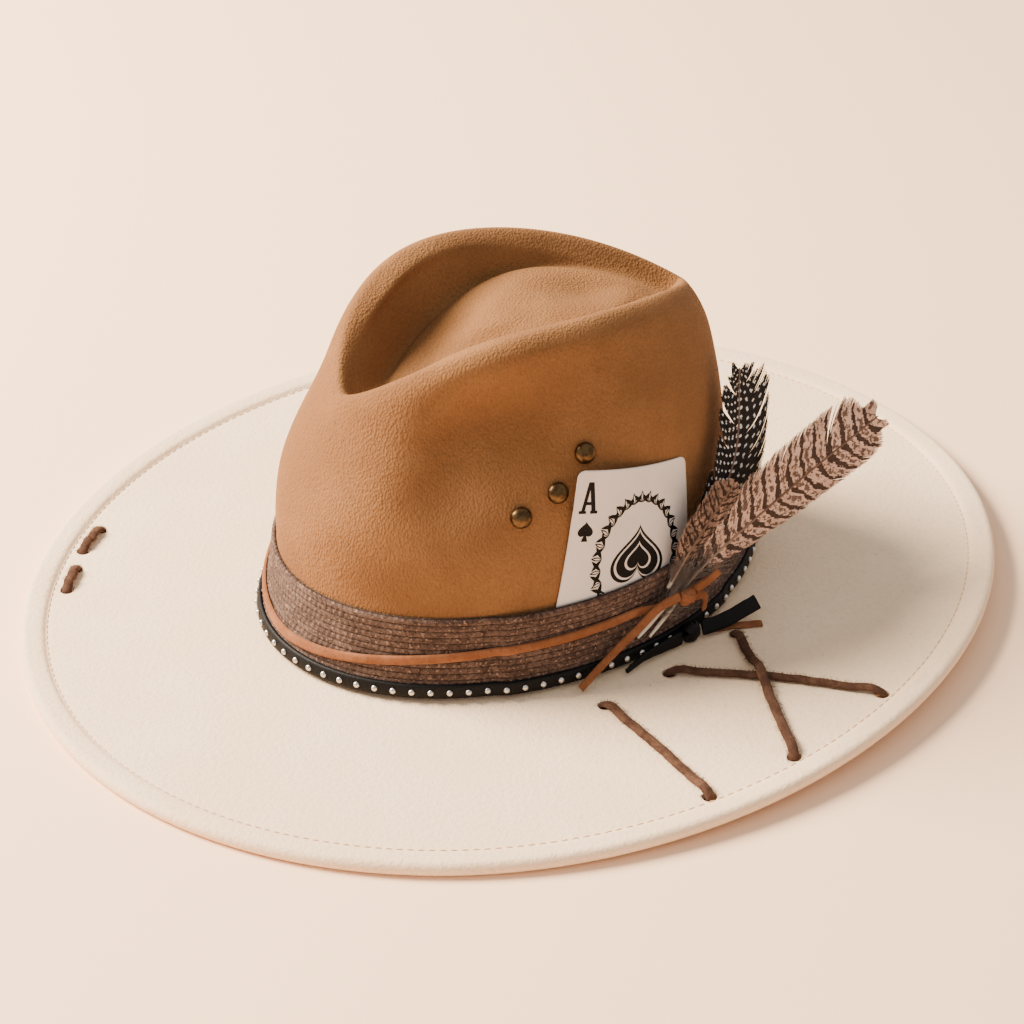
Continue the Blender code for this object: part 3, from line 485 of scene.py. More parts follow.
# %% The crown's mesh
def add_wall(outer, thickness, close_top):
    """A felt wall: an outer face, the same face again inside it, and a rim that joins them."""
    rows, sides = outer.shape[:2]
    around = np.roll(outer, -1, axis=1) - np.roll(outer, 1, axis=1)
    along = np.gradient(outer, axis=0)
    inward = unit(np.cross(along, around))
    inner = outer + inward * thickness
    tops = [outer[-1].mean(axis=0), inner[-1].mean(axis=0)] if close_top else []
    points = np.concatenate([outer.reshape(-1, 3), inner.reshape(-1, 3), np.reshape(tops, (-1, 3))])
    outer_faces = grid_faces(rows, sides, close_columns=True)
    inner_faces = grid_faces(rows, sides, close_columns=True, start=rows * sides)[:, ::-1]
    side = np.arange(sides)
    after = (side + 1) % sides
    start = rows * sides
    rim = np.stack([start + side, start + after, after, side], axis=-1)
    last = (rows - 1) * sides
    top = 2 * rows * sides
    caps = [
        np.stack([last + side, last + after, np.full(sides, top), np.full(sides, top)], axis=-1),
        np.stack([start + last + after, start + last + side, np.full(sides, top + 1), np.full(sides, top + 1)], axis=-1),
    ]
    return points, np.concatenate([outer_faces, inner_faces, rim]), caps


def polygons_mesh(name, points, faces):
    mesh = bpy.data.meshes.new(name)
    mesh.from_pydata([tuple(point) for point in points], [], faces)
    mesh.validate()
    mesh.shade_smooth()
    return mesh


points, quads, caps = add_wall(outer, FELT, close_top=True)
faces = [tuple(face) for face in quads.tolist()]
faces += [tuple(face[:3]) for cap in caps for face in cap.tolist()]
crown = add_piece("crown_felt", polygons_mesh("crown_felt", points, faces), camel_felt, "crown_felt", "crown")
print("the crown has", len(crown.data.polygons), "faces")

# %% [markdown]
# ## Finding a place on the wall
# The band, the cord, the strap, the card and the studs all lie on the crown's wall. A table of the wall
# at every angle and height lets each of them ask where it is, and which way is out.

# %% The wall as a table
WALL_ANGLES = 720
WALL_STEP = 0.0005
WALL_TOP = 0.104


def make_wall_table():
    """The wall's plan at each angle and each half millimetre above the hem, and the way out of it."""
    fine = crown_grid(WALL_ANGLES, 6)
    ridge_row = 6 * sum(section.rows for section in SECTIONS[:9])
    fine = fine[: ridge_row + 1]
    heights = np.arange(0, WALL_TOP, WALL_STEP)
    table = np.zeros((WALL_ANGLES, len(heights), 2))
    for column in range(WALL_ANGLES):
        line = fine[:, column]
        for axis in (0, 1):
            table[column, :, axis] = np.interp(CROWN_BASE + heights, line[:, 2], line[:, axis])
    around = np.roll(table, -1, axis=0) - np.roll(table, 1, axis=0)
    return table, unit(np.stack([around[..., 1], -around[..., 0]], axis=-1))


WALL_PLAN, WALL_OUT = make_wall_table()


def read_wall(table, angle, height):
    column = (np.asarray(angle, float) / (2 * math.pi) * WALL_ANGLES) % WALL_ANGLES
    row = np.clip(np.asarray(height, float) / WALL_STEP, 0, table.shape[1] - 1.001)
    column, row = np.broadcast_arrays(column, row)
    c, r = np.floor(column).astype(int) % WALL_ANGLES, np.floor(row).astype(int)
    u, v = (column - np.floor(column))[..., None], (row - r)[..., None]
    after = (c + 1) % WALL_ANGLES
    low = table[c, r] * (1 - u) + table[after, r] * u
    high = table[c, r + 1] * (1 - u) + table[after, r + 1] * u
    return low * (1 - v) + high * v


def wall(angle, height, clearance):
    """Points that stand clear of the wall, at an angle from the front and a height above the hem."""
    angle, height, clearance = np.broadcast_arrays(*(np.asarray(v, float) for v in (angle, height, clearance)))
    plan = read_wall(WALL_PLAN, angle, height) + read_wall(WALL_OUT, angle, height) * clearance[..., None]
    return np.concatenate([plan, (CROWN_BASE + height)[..., None]], axis=-1)


def wall_out(angle, height):
    out = read_wall(WALL_OUT, angle, height)
    return np.concatenate([out, np.zeros_like(out[..., :1])], axis=-1)


print("straight out of the left side:", wall_out(math.radians(90), 0.02).round(2))

# %% [markdown]
# ## The brim
# The brim is a flat oval of cream felt. Its edge is folded over and sewn down, so it is twice as thick
# there and ends in a soft round. The opening is turned up as a collar inside the crown. One profile is
# carried round the oval, which is how a brim is pressed, and then the lace holes are punched.

# %% The brim's form
COLLAR_HEIGHT = 0.0080
COLLAR_LEAN = 0.0020
FOLD_WIDTH = 0.0102
FOLD_HEIGHT = 0.0060
BRIM_LIFT = 0.0067
BRIM_LIFT_ANGLE = math.radians(32)
BRIM_LIFT_SPREAD = 0.30
BRIM_SIDES = 480
BRIM_WIDTH = BRIM_HALF_WIDTH - HEAD_HALF_WIDTH


def brim_lift(angle, share):
    """How far the brim rises above its flat form at an angle and a share of the way to its edge."""
    facing = (np.cos(angle - BRIM_LIFT_ANGLE) - BRIM_LIFT_SPREAD) / (1 - BRIM_LIFT_SPREAD)
    return BRIM_LIFT * np.clip(facing, 0, None) ** 2 * share**2


def brim_point(angle, reach, height):
    """A point of the brim: reach 0 is the head opening and 1 is the outer edge."""
    angle, reach, height = np.broadcast_arrays(*(np.asarray(v, float) for v in (angle, reach, height)))
    head = np.stack([HEAD_HALF_WIDTH * np.cos(angle), HEAD_HALF_LENGTH * np.sin(angle) + CROWN_CENTRE_Y], -1)
    edge = np.stack([BRIM_HALF_WIDTH * np.cos(angle), BRIM_HALF_LENGTH * np.sin(angle)], -1)
    plan = head + (edge - head) * reach[..., None]
    return np.concatenate([plan, (height + brim_lift(angle, reach))[..., None]], axis=-1)


def brim_reach(x, y):
    """The angle and reach of a place on the brim, found by halving the reach."""
    low, high = np.zeros_like(x), np.full_like(x, 1.2)
    for _ in range(24):
        reach = (low + high) / 2
        half_width = HEAD_HALF_WIDTH + BRIM_WIDTH * reach
        half_length = HEAD_HALF_LENGTH + (BRIM_HALF_LENGTH - HEAD_HALF_LENGTH) * reach
        middle = CROWN_CENTRE_Y * (1 - reach)
        inside = (x / half_width) ** 2 + ((y - middle) / half_length) ** 2 < 1
        low, high = np.where(inside, low, reach), np.where(inside, reach, high)
    return np.arctan2((y - middle) / half_length, x / half_width), reach


def brim_profile():
    """The brim's outline from the collar's top, over the underside to the edge and back on the top."""
    fold = 1 - FOLD_WIDTH / BRIM_WIDTH
    unit_of_width = 1 / BRIM_WIDTH
    collar, lean = FELT * unit_of_width, COLLAR_LEAN * unit_of_width
    collar_top, bend, top = CROWN_BASE + COLLAR_HEIGHT, CROWN_BASE + COLLAR_HEIGHT / 3, FOLD_HEIGHT
    turn = np.linspace(-90, 90, 13)
    edge = [(1 - 0.0029 * unit_of_width * (1 - math.cos(t)), top / 2 * (1 + math.sin(t))) for t in np.radians(turn)]
    under = [(-lean, collar_top), (0.0, bend), (0.0, BRIM_CLEARANCE + 0.0016), (collar / 3, BRIM_CLEARANCE)]
    under += [(reach, BRIM_CLEARANCE) for reach in np.linspace(0.12, fold - 0.02, 12)]
    under += [(fold, BRIM_CLEARANCE), (fold + 0.0011 * unit_of_width, 0.0009), (fold + 0.003 * unit_of_width, 0.0001)]
    over = [(fold + share * (1 - fold), top * height) for share, height in ((0.62, 0.995), (0.45, 0.985), (0.28, 0.965))]
    over += [(fold + 0.0018 * unit_of_width, top * 0.93), (fold + 0.0009 * unit_of_width, top * 0.87)]
    over += [(fold + 0.0002 * unit_of_width, BRIM_TOP + 0.0003), (fold - 0.0004 * unit_of_width, BRIM_TOP - 0.0001)]
    over += [(fold - 0.0016 * unit_of_width, BRIM_TOP)]
    over += [(reach, BRIM_TOP) for reach in np.linspace(fold - 0.03, 0.05, 30)]
    over += [(collar, BRIM_TOP), (collar, bend), (collar - lean, collar_top)]
    return np.array(under + edge + over)


LACE_HOLE_RADIUS = 0.0028
Lace = namedtuple("Lace", "name from_angle from_reach to_angle to_reach bow hump_place hump")
LACES = (
    Lace("brim_lace_1", -11.5, 0.245, -8.75, 0.875, 0.0010, 0.5, 0.0),
    Lace("brim_lace_2", 3.25, 0.210, 18.25, 0.865, 0.0036, 0.5, 0.0),
    Lace("brim_lace_3", 20.75, 0.220, 2.75, 0.870, 0.0013, 0.37, 0.0030),
    Lace("brim_lace_4", -137.25, 0.840, -132.00, 0.850, 0.0, 0.5, 0.0),
    Lace("brim_lace_5", -127.75, 0.840, -122.75, 0.845, 0.0, 0.5, 0.0),
)


def lace_ends(lace):
    places = ((lace.from_angle, lace.from_reach), (lace.to_angle, lace.to_reach))
    return [brim_point(math.radians(angle), reach, 0.0)[:2] for angle, reach in places]


profile = brim_profile()
print("the brim's profile has", len(profile), "points")

# %% [markdown]
# The cream felt has the same make-up as the camel felt, with shorter nap and less pattern. A few
# stray dark fibres and faint marks are left in it, as in any pale wool felt.

# %% Cream felt and the brim's mesh
cream_felt = Finish("cream_felt", Roughness=0.93, Sheen_Weight=0.25, Sheen_Roughness=0.5)
cream_felt.shader.inputs["Sheen Tint"].default_value = paint(shade(240, 225, 205))
cream_felt.shader.inputs["Specular IOR Level"].default_value = 0.15
patches = cream_felt.noise(22, 3, 0.6)
grain = cream_felt.noise(480, 4, 0.7)
fibres = cream_felt.noise(1700, 2, 0.6)
specks = cream_felt.cells(95)
tone = cream_felt.blend(cream_felt.step(patches, 0.35, 0.70), shade(238, 208, 174), shade(243, 215, 182))
tone = cream_felt.blend(cream_felt.step(grain, 0.44, 0.76) * 0.4, tone, shade(214, 182, 146))
tone = cream_felt.blend((specks < 0.055) * 0.4, tone, shade(175, 150, 125))
cream_felt.feed(Base_Color=tone)
cream_felt.bump((grain, 0.8, 0.0007), (fibres, 0.45, 0.00018), (patches, 0.25, 0.0018))

angle = np.arange(BRIM_SIDES) * 2 * math.pi / BRIM_SIDES
rings = [brim_point(angle, reach, height) for reach, height in profile]
brim_faces = grid_faces(len(rings), BRIM_SIDES, close_rows=True, close_columns=True)
brim = add_piece("brim_felt", build_mesh("brim_felt", rings, brim_faces[:, ::-1]), cream_felt, "brim_felt", "brim")

holes = bmesh.new()
for lace in LACES:
    for x, y in lace_ends(lace):
        lift = brim_lift(*brim_reach(np.array(x), np.array(y)))
        made = bmesh.ops.create_cone(holes, cap_ends=True, segments=20, radius1=LACE_HOLE_RADIUS,
                                     radius2=LACE_HOLE_RADIUS, depth=FELT * 4)
        bmesh.ops.translate(holes, verts=made["verts"], vec=(x, y, BRIM_CLEARANCE + FELT / 2 + lift))
hole_mesh = bpy.data.meshes.new("lace_holes")
holes.to_mesh(hole_mesh)
holes.free()
cutter = bpy.data.objects.new("lace_holes", hole_mesh)
bpy.context.scene.collection.objects.link(cutter)
punch = brim.modifiers.new("holes", "BOOLEAN")
punch.operation = "DIFFERENCE"
punch.object = cutter
bpy.context.view_layer.update()
punched = bpy.data.meshes.new_from_object(brim.evaluated_get(bpy.context.evaluated_depsgraph_get()))
brim.modifiers.clear()
brim.data = punched
bpy.data.objects.remove(cutter, do_unlink=True)
print("the brim has", len(brim.data.polygons), "faces")

# %% [markdown]
# The fold is held by a row of small blind stitches along its inner edge. Each is a short sunk thread,
# so together they make the faint dotted line that runs round the brim. All of them are one mesh.

# %% Brim stitches
STITCH_COUNT = 300
STITCH_LENGTH = 0.0027
STITCH_RADIUS = 0.00018

thread = Finish("cream_thread", Base_Color=paint(shade(206, 172, 136)), Roughness=0.8)
stitch_angle = (np.arange(STITCH_COUNT) + 0.5) / STITCH_COUNT * 2 * math.pi
stitch_reach = 1 - (FOLD_WIDTH + 0.0006) / BRIM_WIDTH
steps = np.array([-0.5, -0.25, 0.0, 0.25, 0.5])
length_of_turn = (BRIM_HALF_WIDTH + BRIM_HALF_LENGTH) / 2
stitch_angles = stitch_angle[:, None] + steps * STITCH_LENGTH / length_of_turn
lift_of_thread = BRIM_TOP + STITCH_RADIUS * (1.2 - 8 * steps**2)
lines = brim_point(stitch_angles, stitch_reach, np.broadcast_to(lift_of_thread, stitch_angles.shape))


def tube_mesh(name, lines, radii, sides, faces_out=(0.0, 0.0, 1.0), flat=1.0, roll=0.0):
    """Many tubes as one mesh: lines (tubes, steps, 3), radii that fit them, and how flat they are."""
    lines = np.asarray(lines, float)
    tubes, steps = lines.shape[:2]
    ahead = unit(np.gradient(lines, axis=1))
    out = np.broadcast_to(np.asarray(faces_out, float), lines.shape)
    side = unit(np.cross(ahead, out))
    out = np.cross(side, ahead)
    turn = np.arange(sides) * 2 * math.pi / sides + roll
    radii = np.broadcast_to(np.asarray(radii, float), lines.shape[:2])[..., None, None]
    ring = side[:, :, None] * np.cos(turn)[:, None] + out[:, :, None] * np.sin(turn)[:, None] * flat
    points = lines[:, :, None] + ring * radii
    one = grid_faces(steps, sides, close_columns=True)
    faces = (one[None] + (np.arange(tubes) * steps * sides)[:, None, None]).reshape(-1, 4)
    share = np.linspace(0, 1, steps)[None, :, None]
    chart = np.stack(np.broadcast_arrays(share, (turn / (2 * math.pi))[None, None, :] + 0 * share), axis=-1)
    chart = np.broadcast_to(chart, (tubes, *chart.shape[1:]))
    return build_mesh(name, points, faces, chart)


add_piece("brim_stitches", tube_mesh("brim_stitches", lines, STITCH_RADIUS, 5), thread, "brim_felt")
print("the brim has", STITCH_COUNT, "stitches")

# %% [markdown]
# ## The knitted band
# The band is a strip of rib knit, pulled round the crown. Its threads are two browns twisted together,
# so it looks flecked. The rows of stitches are raised in the mesh, and the slant of each stitch and the
# colours of its threads are left to the material. The material also paints shade into the grooves
# between the rows and keeps its pale flecks to their crests, partly as a painted highlight.

# %% Where the band stands
BAND_THICKNESS = 0.0018
BAND_BOTTOM = 0.0004
BAND_TOP = 0.0335
CARD_THICKNESS = 0.00035
CARD_ROOM = CARD_THICKNESS + 3 * GAP
CARD_ROOM_FROM = math.radians(60)
CARD_ROOM_TO = math.radians(120)
CARD_ROOM_EASE = math.radians(4)
STITCHES_ROUND = 196
ROWS_OF_STITCHES = 13
POINTS_PER_STITCH = 5
POINTS_PER_ROW = 6
STITCH_RISE = 0.00045


def ease(value):
    value = np.clip(value, 0, 1)
    return value * value * (3 - 2 * value)


def band_clearance(angle):
    """How far the band stands off the crown: more where the card is tucked behind it."""
    angle = np.asarray(angle, float)
    into = ease((angle - CARD_ROOM_FROM) / CARD_ROOM_EASE + 0.5)
    out_of = ease((CARD_ROOM_TO - angle) / CARD_ROOM_EASE + 0.5)
    return GAP + CARD_ROOM * into * out_of


def over_band(angle):
    return band_clearance(angle) + BAND_THICKNESS + GAP


def ring_wall(name, angle, heights, inner, outer, chart_rows=1.0):
    """A closed strap round the crown, with its inner face plain and its outer face as given."""
    rows = len(heights)
    outside = wall(angle[None, :], heights, outer)
    inside = wall(angle[None, :], heights[::-1], inner)
    points = np.concatenate([outside, inside])
    faces = grid_faces(2 * rows, len(angle), close_rows=True, close_columns=True)
    chart = np.zeros((*points.shape[:2], 2))
    chart[..., 0] = np.abs(angle / math.pi - 1)[None, :]
    chart[:rows, :, 1] = np.linspace(0, chart_rows, rows)[:, None]
    chart[rows:, :, 1] = chart_rows
    return build_mesh(name, points, faces, chart)


# %% The band's mesh
columns = STITCHES_ROUND * POINTS_PER_STITCH
angle = np.arange(columns) / columns * 2 * math.pi
rows = ROWS_OF_STITCHES * POINTS_PER_ROW + 1
share = np.linspace(0, 1, rows)[:, None]
sag = 0.0004 * waves(3)(angle / (2 * math.pi))
heights = BAND_BOTTOM + (BAND_TOP + sag - BAND_BOTTOM) * share
in_row = (share * ROWS_OF_STITCHES) % 1.0
stitch = (angle / (2 * math.pi) * STITCHES_ROUND)[None, :]
number = np.floor(share * ROWS_OF_STITCHES)
slant = stitch + np.where(number % 2 == 0, 0.35, -0.35) * in_row + 0.5 * (number % 2)
ridge = np.sin(math.pi * in_row) ** 0.7
bump = ridge * (0.72 + 0.28 * np.cos(2 * math.pi * slant))
edge = ease(share / 0.03) * ease((1 - share) / 0.03)
outer_clearance = band_clearance(angle) + BAND_THICKNESS - STITCH_RISE + (STITCH_RISE * bump) * edge - 0.0008 * (1 - edge)
band_mesh = ring_wall("knitted_band", angle, heights, band_clearance(angle)[None, :], outer_clearance, ROWS_OF_STITCHES)

knit = Finish("knit", Roughness=0.95, Sheen_Weight=0.25, Sheen_Roughness=0.5)
knit.shader.inputs["Sheen Tint"].default_value = paint(shade(190, 165, 150))
knit.shader.inputs["Specular IOR Level"].default_value = 0.15
around, up = knit.chart()
in_row = knit.math("FRACT", up)
course = knit.math("FLOOR", up)
turned = knit.math("MODULO", course, 2.0)
along = around * (STITCHES_ROUND / 2.0) + (turned - 0.5) * in_row * 0.9 + turned * 0.5
thread_wave = knit.math("SINE", along * (2 * math.pi))
groove = knit.step(knit.math("ABSOLUTE", in_row - 0.5), 0.32, 0.5)
fleck = knit.noise(420, 2, 0.6, knit.stretched((1.0, 1.0, 2.2)))
heather = knit.noise(130, 3, 0.6)
fuzz = knit.noise(1900, 2, 0.6)
mottle = knit.noise(760, 2, 0.6)
tone = knit.blend(knit.step(heather, 0.38, 0.64), shade(80, 62, 54), shade(100, 79, 69))
tone = knit.blend(knit.step(thread_wave, -0.2, 0.9) * 0.35, tone, shade(50, 34, 28))
# Painted shade: the grooves between the rows of stitches are darkened, broken up by the mottle.
tone = knit.blend(groove * knit.step(mottle, 0.34, 0.50) * 0.9, tone, shade(24, 15, 12))
tone = knit.blend(knit.step(fleck, 0.50, 0.62) * 0.6, tone, shade(44, 29, 23))
# Pale flecks on the crests of the rows only: partly the yarn's own flecks, partly a painted highlight.
tone = knit.blend(knit.step(mottle, 0.57, 0.68) * (1.0 - groove) * 0.65, tone, shade(152, 122, 104))
knit.feed(Base_Color=tone)
knit.bump((thread_wave, 0.35, 0.0003), (mottle, 0.6, 0.0006), (fuzz, 0.7, 0.0004))
add_piece("knitted_band", band_mesh, knit, "knit", "hat_band")
print("the band has", len(band_mesh.polygons), "faces")

# %% [markdown]
# ## Suede and leather
# The suede lace is soft and rough on every side, so its colour drifts and its surface is all fine nap.
# The strap is smooth black leather with a tight grain and a slight shine. One material makes each.

# %% Suede and leather
suede = Finish("suede", Roughness=0.95, Sheen_Weight=0.5, Sheen_Roughness=0.4)
suede.shader.inputs["Sheen Tint"].default_value = paint(shade(170, 115, 75))
suede.shader.inputs["Specular IOR Level"].default_value = 0.15
nap = suede.noise(700, 3, 0.65)
drift = suede.noise(110, 3, 0.6)
tone = suede.blend(suede.step(drift, 0.36, 0.66), shade(120, 74, 47), shade(136, 88, 59))
tone = suede.blend(suede.step(nap, 0.5, 0.78) * 0.45, tone, shade(88, 46, 24))
suede.feed(Base_Color=tone)
suede.bump((nap, 0.7, 0.0004), (suede.noise(2200, 2), 0.4, 0.0002))

leather = Finish("black_leather", Roughness=0.5)
leather.shader.inputs["Specular IOR Level"].default_value = 0.16
pores = leather.cells(900)
wear = leather.noise(90, 4, 0.65)
tone = leather.blend(leather.step(wear, 0.5, 0.8) * 0.6, shade(9, 8, 9), shade(22, 19, 18))
leather.feed(Base_Color=tone, Roughness=0.42 + wear * 0.3)
leather.bump((pores, 0.35, 0.0002), (wear, 0.2, 0.0006))

silver = Finish("silver", Base_Color=paint(shade(205, 203, 200)), Metallic=1.0, Roughness=0.28)
scuffs = silver.noise(300, 3, 0.6)
silver.feed(Roughness=0.18 + scuffs * 0.25)
print("made", suede.material.name, leather.material.name, silver.material.name)

# %% The suede cord
CORD_WIDTH = 0.0035
CORD_THICKNESS = 0.0012
CORD_FRONT_HEIGHT = 0.0096
CORD_SIDE_HEIGHT = 0.0217
CORD_CLIMB = 1.2
QUILL_RADIUS = 0.0010
QUILL_ANGLE = math.radians(105)
QUILL_ROOM = math.radians(11)
QUILL_LIFT = 2 * QUILL_RADIUS + 3 * GAP


def over_quills(angle):
    """How far from the crown the suede cord begins: it rises softly where the quills pass under it."""
    off = (np.abs(np.asarray(angle, float) - QUILL_ANGLE) - QUILL_ROOM) / math.radians(5)
    return over_band(angle) + QUILL_LIFT * (1 - ease(off + 0.5))


def cord_height(angle):
    climb = np.hypot(np.sin(angle), 0.1) ** CORD_CLIMB
    return CORD_FRONT_HEIGHT + (CORD_SIDE_HEIGHT - CORD_FRONT_HEIGHT) * climb


angle = np.arange(720) / 720 * 2 * math.pi
turn = np.radians(np.linspace(0, 180, 9))
half = CORD_WIDTH / 2 * (1 + 0.08 * waves(8, 12)(angle / (2 * math.pi) * 3))
rise = 0.0005 * waves(11, 7)(angle / (2 * math.pi) * 2)
heights = cord_height(angle) + rise - np.cos(turn)[:, None] * half
inner = np.broadcast_to(over_quills(angle), heights.shape)
outer_face = inner + CORD_THICKNESS * (0.25 + 0.75 * np.sin(turn)[:, None] ** 0.5)
add_piece("suede_cord_ring", ring_wall("suede_cord_ring", angle, heights, inner, outer_face), suede, "suede", "suede_cord")

# %% [markdown]
# ## The studded strap
# The strap is a leather lace, pressed flat, with a small silver dome riveted every 7 mm. In the solid
# model each dome is a coarse pyramid. Here they are turned domes with a fine rim, all in one mesh.

# %% The strap and its domes
STRAP_WIDTH = 0.0070
STRAP_FACE = 0.0056
STRAP_THICKNESS = 0.0014
STRAP_BOTTOM = 0.0007
STRAP_KNOT_ANGLE = math.radians(104)
STRAP_KNOT_SIZE = (0.0046, 0.0080, 0.0078)
DOME_RADIUS = 0.0015
DOME_RISE = 0.0011
DOME_FACE = 0.00128
DOME_SPACING = 0.0073

turn = np.radians(np.linspace(0, 180, 9))
heights = STRAP_BOTTOM + STRAP_WIDTH / 2 - np.cos(turn)[:, None] * STRAP_FACE / 2 + 0 * angle
inner = np.broadcast_to(over_band(angle), heights.shape)
outer_face = inner + STRAP_THICKNESS * (0.45 + 0.55 * np.sin(turn)[:, None] ** 0.35)
add_piece("leather_strap", ring_wall("leather_strap", angle, heights, inner, outer_face), leather, "black_leather", "stud_strap")

fine = np.radians(np.arange(0, 360.25, 0.25))
middle_height = STRAP_BOTTOM + STRAP_WIDTH / 2
face_of_strap = over_band(fine) + STRAP_THICKNESS
line = wall(fine, middle_height, face_of_strap)
travelled = np.concatenate([[0.0], np.cumsum(np.linalg.norm(np.diff(line, axis=0), axis=1))])
count = round(travelled[-1] / DOME_SPACING)
dome_angles = np.interp((np.arange(count) + 0.5) * travelled[-1] / count, travelled, fine)
centres = wall(dome_angles, middle_height, over_band(dome_angles) + STRAP_THICKNESS)
knot_place = wall(STRAP_KNOT_ANGLE, middle_height, over_band(STRAP_KNOT_ANGLE) + STRAP_THICKNESS)
clear = np.linalg.norm(centres - knot_place, axis=1) > STRAP_KNOT_SIZE[1] / 2 + DOME_RADIUS + GAP
centres, out = centres[clear], wall_out(dome_angles[clear], middle_height)


def turned_mesh(name, centres, axes, profile, sides):
    """Many turned bodies as one mesh: a profile of radius and height, set at each centre on its axis."""
    axes = unit(np.asarray(axes, float))
    helper = np.where(np.abs(axes[:, 2:3]) > 0.9, [[1.0, 0.0, 0.0]], [[0.0, 0.0, 1.0]])
    side = unit(np.cross(axes, helper))
    up = np.cross(side, axes)
    turn = np.arange(sides) * 2 * math.pi / sides
    radius, height = np.array(profile).T
    ring = side[:, None] * np.cos(turn)[None, :, None] + up[:, None] * np.sin(turn)[None, :, None]
    points = centres[:, None, None] + ring[:, None] * radius[None, :, None, None]
    points = points + axes[:, None, None] * height[None, :, None, None]
    one = grid_faces(len(profile), sides, close_columns=True)
    faces = (one[None] + (np.arange(len(centres)) * len(profile) * sides)[:, None, None]).reshape(-1, 4)
    return build_mesh(name, points, faces)


arc = np.radians(np.linspace(0, 89, 7))
dome = [(DOME_FACE, -0.0002), (DOME_FACE, 0.0001)]
dome += [(DOME_FACE * math.cos(t), 0.0001 + (DOME_RISE - 0.0001) * math.sin(t)) for t in arc]
add_piece("silver_domes", turned_mesh("silver_domes", centres, out, dome, 16), silver, "black_leather")
print("the strap carries", len(centres), "domes")

# %% [markdown]
# ## Knots and loose ends
# Both straps are tied on the left side and their ends hang free. A knot is three flat turns that cross over
# one another at different tilts. The ends are the same strips, each swept along a few points that rest on the
# band or on the brim. A sweep suits them better than a sheet, because they are too narrow to fold.

# %% Strips
Strip = namedtuple("Strip", "name material width thickness end_width face points")
STRIPS = (
    Strip("suede_tail_1", "suede", 0.0036, 0.0012, 0.0030, (1.0, -0.2, 0.5), (
        (0.0852, 0.0178, 0.0296), (0.0852, 0.0090, 0.0286), (0.0848, -0.0009, 0.0224),
        (0.0850, -0.0154, 0.0142), (0.0868, -0.0306, 0.0066))),
    Strip("suede_tail_2", "suede", 0.0036, 0.0012, 0.0034, (1.0, 0.2, 0.3), (
        (0.0849, 0.0260, 0.0293), (0.0852, 0.0315, 0.0312), (0.0855, 0.0370, 0.0340))),
    Strip("suede_tail_3", "suede", 0.0034, 0.0012, 0.0030, (1.0, 0.3, 0.2), (
        (0.0840, 0.0267, 0.0258), (0.0835, 0.0320, 0.0228), (0.0828, 0.0325, 0.0160))),
    Strip("suede_tail_4", "suede", 0.0040, 0.0012, 0.0040, (0.0, 0.0, 1.0), (
        (0.0838, 0.0350, 0.0054), (0.0870, 0.0440, 0.0054), (0.0925, 0.0549, 0.0055))),
    Strip("strap_tail_1", "leather", 0.0060, 0.0014, 0.0018, (1.0, 0.0, 0.15), (
        (0.0853, 0.0195, 0.0086), (0.0862, 0.0090, 0.0090), (0.0868, 0.0000, 0.0086),
        (0.0880, -0.0094, 0.0064))),
    Strip("strap_tail_2", "leather", 0.0062, 0.0014, 0.0064, (1.0, 0.1, 0.6), (
        (0.0850, 0.0302, 0.0092), (0.0868, 0.0385, 0.0098), (0.0872, 0.0490, 0.0112),
        (0.0868, 0.0565, 0.0122))),
)
SOFT_STUFF = {"suede": (suede, "suede"), "leather": (leather, "black_leather")}
CAP_STEP = 0.00002


def with_caps(line, radii):
    """A line and its radii with one more point at each end that closes the tube."""
    line, radii = np.asarray(line, float), np.asarray(radii, float)
    first = line[0] - unit(line[1] - line[0]) * CAP_STEP
    last = line[-1] + unit(line[-1] - line[-2]) * CAP_STEP
    return np.concatenate([[first], line, [last]]), np.concatenate([[radii[0] / 50], radii, [radii[-1] / 50]])


def flat_strip(name, line, widths, thickness, face, sides=12, square=0.55):
    """One flat strip with closed ends and rounded edges."""
    line, half = with_caps(line, np.asarray(widths) / 2)
    face = np.broadcast_to(np.asarray(face, float), line.shape)
    ahead = unit(np.gradient(line, axis=0))
    side = unit(np.cross(ahead, face))
    out = np.cross(side, ahead)
    turn = (np.arange(sides) + 0.5) * 2 * math.pi / sides
    across = np.sign(np.cos(turn)) * np.abs(np.cos(turn)) ** square
    rise = np.sign(np.sin(turn)) * np.abs(np.sin(turn)) ** square
    thick = np.minimum(thickness / 2, half)
    points = line[:, None] + side[:, None] * across[:, None] * half[:, None, None]
    points = points + out[:, None] * rise[:, None] * thick[:, None, None]
    share = np.linspace(0, 1, len(line))[:, None] + 0 * across
    chart = np.stack([share, across + 0 * share], axis=-1)
    return build_mesh(name, points, grid_faces(len(line), sides, close_columns=True), chart)


for number, strip in enumerate(STRIPS):
    finish, slot = SOFT_STUFF[strip.material]
    line = smooth_path(strip.points, 14)
    place = np.linspace(0, 1, len(line))
    roughness = 0.05 if strip.material == "suede" else 0.02
    widths = np.linspace(strip.width, strip.end_width, len(line)) * (1 + roughness * waves(number)(place * 3))
    line = line + waves(number + 40)(place)[:, None] * np.array([0.0, 0.0, 0.0003])
    square = 0.7 if strip.material == "suede" else 0.5
    mesh = flat_strip(strip.name + "_strip", line, widths, strip.thickness, strip.face, square=square)
    add_piece(strip.name + "_strip", mesh, finish, slot, strip.name)
print("made", len(STRIPS), "strips")

# %% Knots
SUEDE_KNOT_SIZE = (0.0042, 0.0074, 0.0066)
Turn = namedtuple("Turn", "tilt width thickness reach lift")


